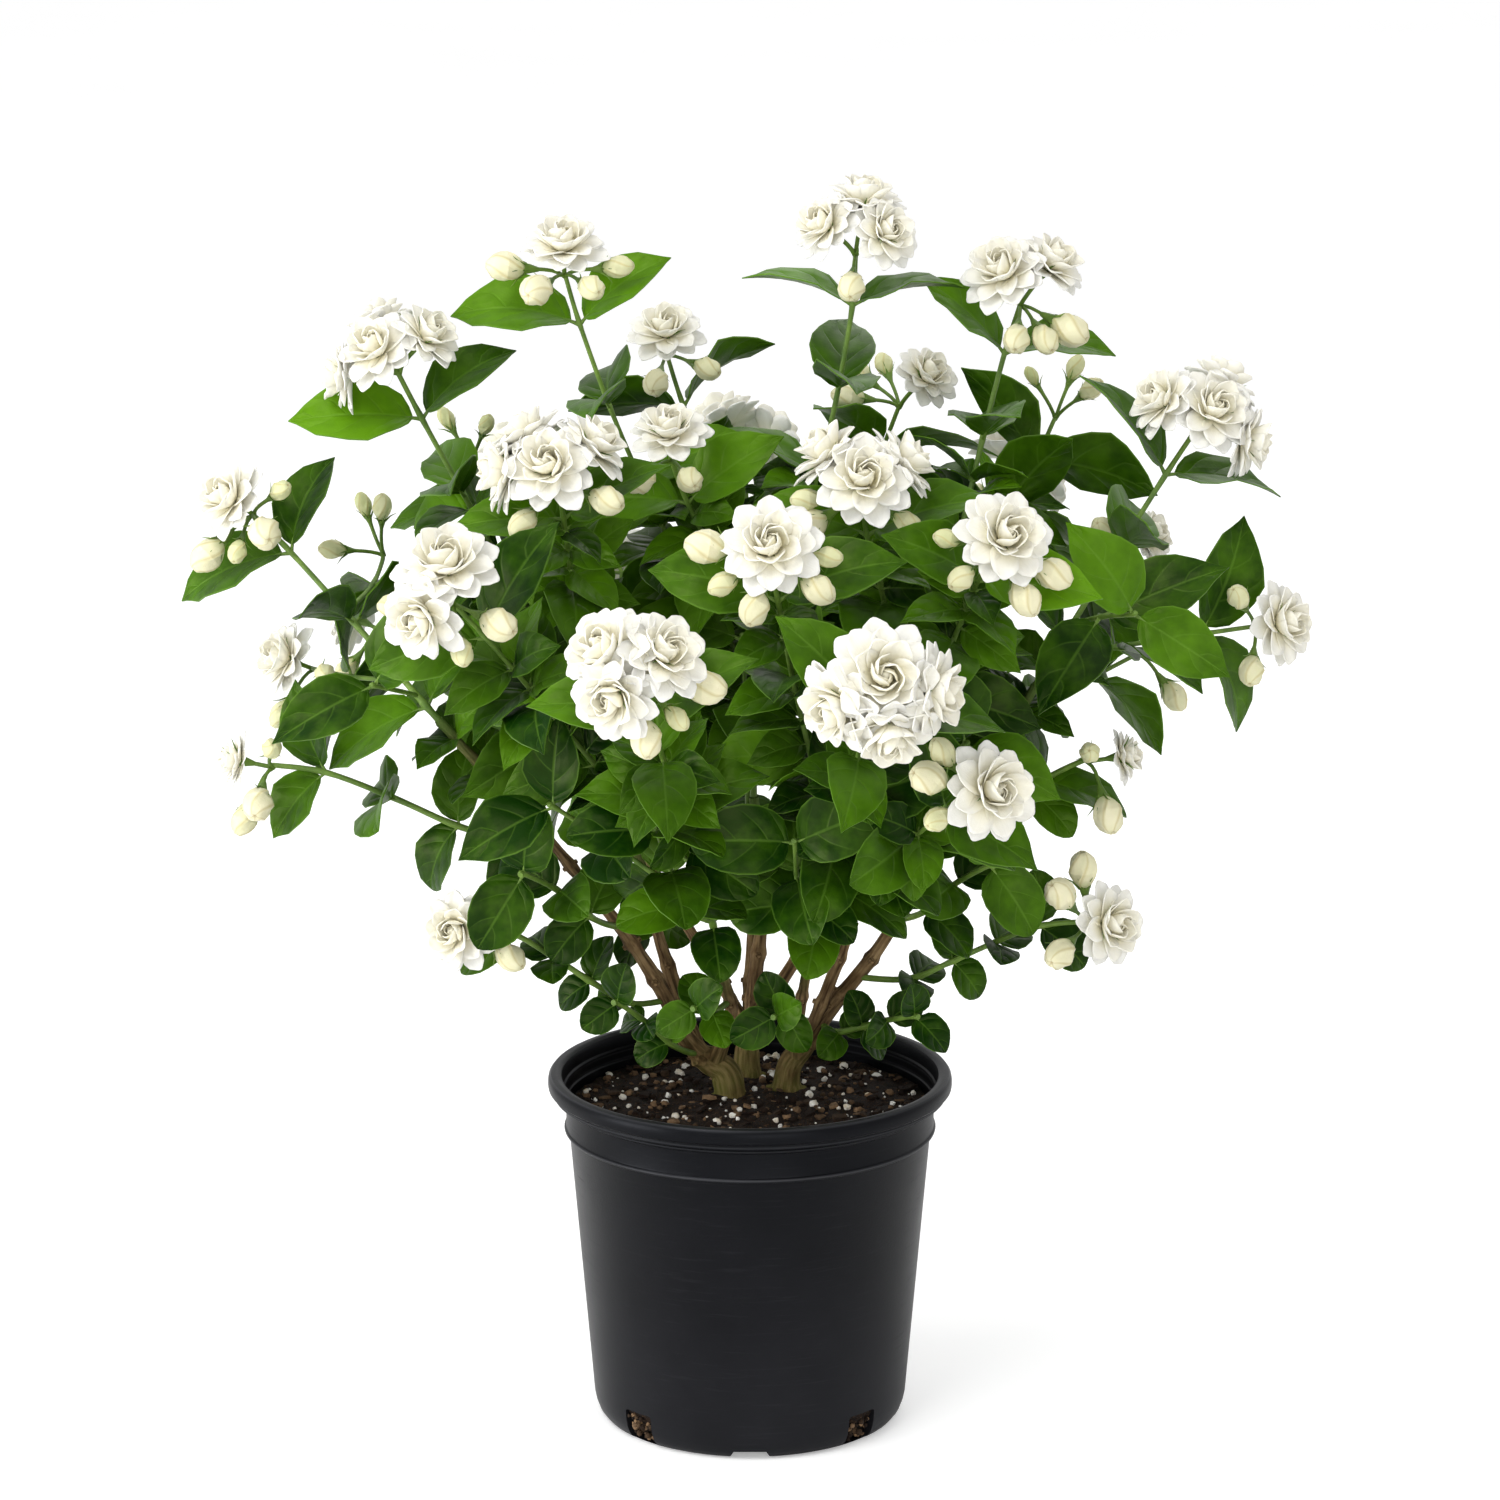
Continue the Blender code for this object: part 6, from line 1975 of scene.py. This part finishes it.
def leaf_stalk(leaf):
    """The short stalk from the shoot to the foot of the blade, along the blade's own arch."""
    up = square_to(leaf.run, leaf.face)
    bow_radius = leaf.length / leaf.arch
    route = []
    for along in (0.0, 0.04, 0.08, 0.13):
        turn = leaf.arch * along
        lift = bow_radius * cos(turn) - bow_radius - 0.006 * leaf.length
        route.append(leaf.origin + leaf.run * bow_radius * sin(turn) + up * lift)
    thick = 0.0004 + 0.0006 * leaf.length / LEAF_LENGTH_TOP
    return route, [thick * 1.25, thick, thick * 0.9, thick * 0.45]


def seat_of(head):
    """The foot of a bloom. One at the side of a head stands out a little, clear of the middle one."""
    at_side = (head.way - shoots[head.shoot].axis).length > 0.1
    return head.base + head.way * (SIDE_OUT if at_side else 0.0)


def flower_stalk(shoot, way, end, thick):
    start = shoot.hub - shoot.axis * 0.003
    leaving = (shoot.axis * 1.2 + way).normalized()
    return bow(start, leaving, end, way, 6), [thick * 1.1, thick, thick, thick, thick * 1.05, thick * 1.35]


def calyx_at(place, way, size, number):
    turn = Matrix.Rotation(tau * scatter(number, 0, 1), 4, "Z")
    return copy_of(calyx_master, Matrix.Translation(place) @ stand(way) @ turn @ Matrix.Scale(size, 4))


def stems_of(name):
    lines, cups = [], []
    own = [number for number, shoot in enumerate(shoots) if shoot.branch == name]
    lines += [shoot_line(shoots[number]) for number in own]
    lines += [leaf_stalk(leaf) for leaf in leaf_plans if leaf.shoot in own]
    for head in heads:
        if head.shoot in own:
            foot = seat_of(head) + head.way * 0.07 * head.radius
            lines.append(flower_stalk(shoots[head.shoot], head.way, foot, 0.0012))
            cups.append(calyx_at(foot, head.way, CALYX_SIZE, len(cups)))
    for bud in bud_plans:
        if bud.shoot in own:
            foot = shoots[bud.shoot].hub + bud.way * (BUD_STALK - 0.0012)
            lines.append(flower_stalk(shoots[bud.shoot], bud.way, foot, 0.0010))
            cups.append(calyx_at(foot, bud.way, BUD_CALYX_SIZE * bud.size, len(cups)))
    return join([smooth(tubes(lines, 2), 60), *cups])


for branch in BRANCHES:
    settle(stems_of(branch), "shoots_" + short_name(branch), [shoot_finish], "leaf", branch)
print("shoot pieces", len(BRANCHES))

# %% [markdown]
# Leaves high in the bush are younger and lighter. Each leaf's shade follows its height and a little
# chance, so the leaves low in the bush are darker: partly older, and partly painted shade.

# %% Leaves of each branch
ROUND_FROM = 0.62


def leaf_piece(name):
    parts = []
    for leaf in leaf_plans:
        if shoots[leaf.shoot].branch != name:
            continue
        size = Matrix.Diagonal((leaf.width, leaf.length, leaf.length, 1))
        place = Matrix.Translation(leaf.origin) @ laid(leaf.run, leaf.face) @ size
        form = "round" if leaf.width > ROUND_FROM * leaf.length else "pointed"
        fitting = [master for master in leaf_masters if master[0] == form]
        near = sorted(fitting, key=lambda master: abs(master[1] - leaf.arch))[:2]
        # Low leaves get a darker green: partly age, and partly painted shade deep in the bush.
        youth_and_light = 0.30 + 0.30 * (leaf.origin.z - 0.40) / 0.2 + 0.28 * scatter(leaf.index + 0.35)
        youth_and_light += 0.5 if scatter(leaf.index + 0.15, 0, 1) > 0.90 else 0.0
        parts.append(copy_of(near[leaf.index % 2][2], place, shade=held(youth_and_light)))
    return join(parts)


for branch in BRANCHES:
    settle(leaf_piece(branch), "leaves_" + short_name(branch), [leaf_upper, leaf_under], "leaf", branch)
print("leaf pieces", len(BRANCHES), "leaves", len(leaf_plans))

# %% [markdown]
# Buds stand on stalks of their own round the blooms. The smallest are the greenest.

# %% Buds of each branch
def bud_piece(name):
    parts = []
    for bud in bud_plans:
        shoot = shoots[bud.shoot]
        if shoot.branch == name:
            place = Matrix.Translation(shoot.hub + bud.way * BUD_STALK) @ stand(bud.way)
            place = place @ Matrix.Rotation(tau * scatter(bud.index, 0, 1), 4, "Z")
            wide = BUD_RADIUS * BUD_SLIMNESS * bud.size ** 1.4
            size = Matrix.Diagonal((wide, wide, BUD_LENGTH * bud.size, 1))
            parts.append(copy_of(bud_master, place @ size, shade=max(0.0, (1.0 - bud.size) * 2.4)))
    return join(parts) if parts else None


bud_count = 0
for branch in BRANCHES:
    piece = bud_piece(branch)
    if piece:
        settle(piece, "buds_" + short_name(branch), [bud_finish], "petal", branch)
        bud_count += 1
print("bud pieces", bud_count, "buds", len(bud_plans))

# %% [markdown]
# Each head of blooms is one piece. A bloom is a copy of one of the masters, stood on the end of its
# stalk with its own turn.

# %% Heads of blooms
spray_names = sorted({shoots[head.shoot].spray.name for head in heads})
for spray_name in spray_names:
    parts = []
    for number, head in enumerate(heads):
        if shoots[head.shoot].spray.name == spray_name:
            place = Matrix.Translation(seat_of(head)) @ stand(head.way)
            place = place @ Matrix.Rotation(tau * scatter(number + 0.7, 0, 1), 4, "Z")
            parts.append(copy_of(bloom_masters[number % 4], place @ Matrix.Scale(head.radius, 4)))
    settle(join(parts), "flowers_" + spray_name, [petal_finish], "petal", "blooms_" + spray_name)
print("heads", len(spray_names), "blooms", len(heads))

# %% [markdown]
# The masters have done their work and are removed, so that only the plant is left.

# %% Clearing the bench
discard(*[master for _, _, master in leaf_masters], *petal_masters.values(), *bloom_masters,
        knot_master, bud_master, calyx_master)
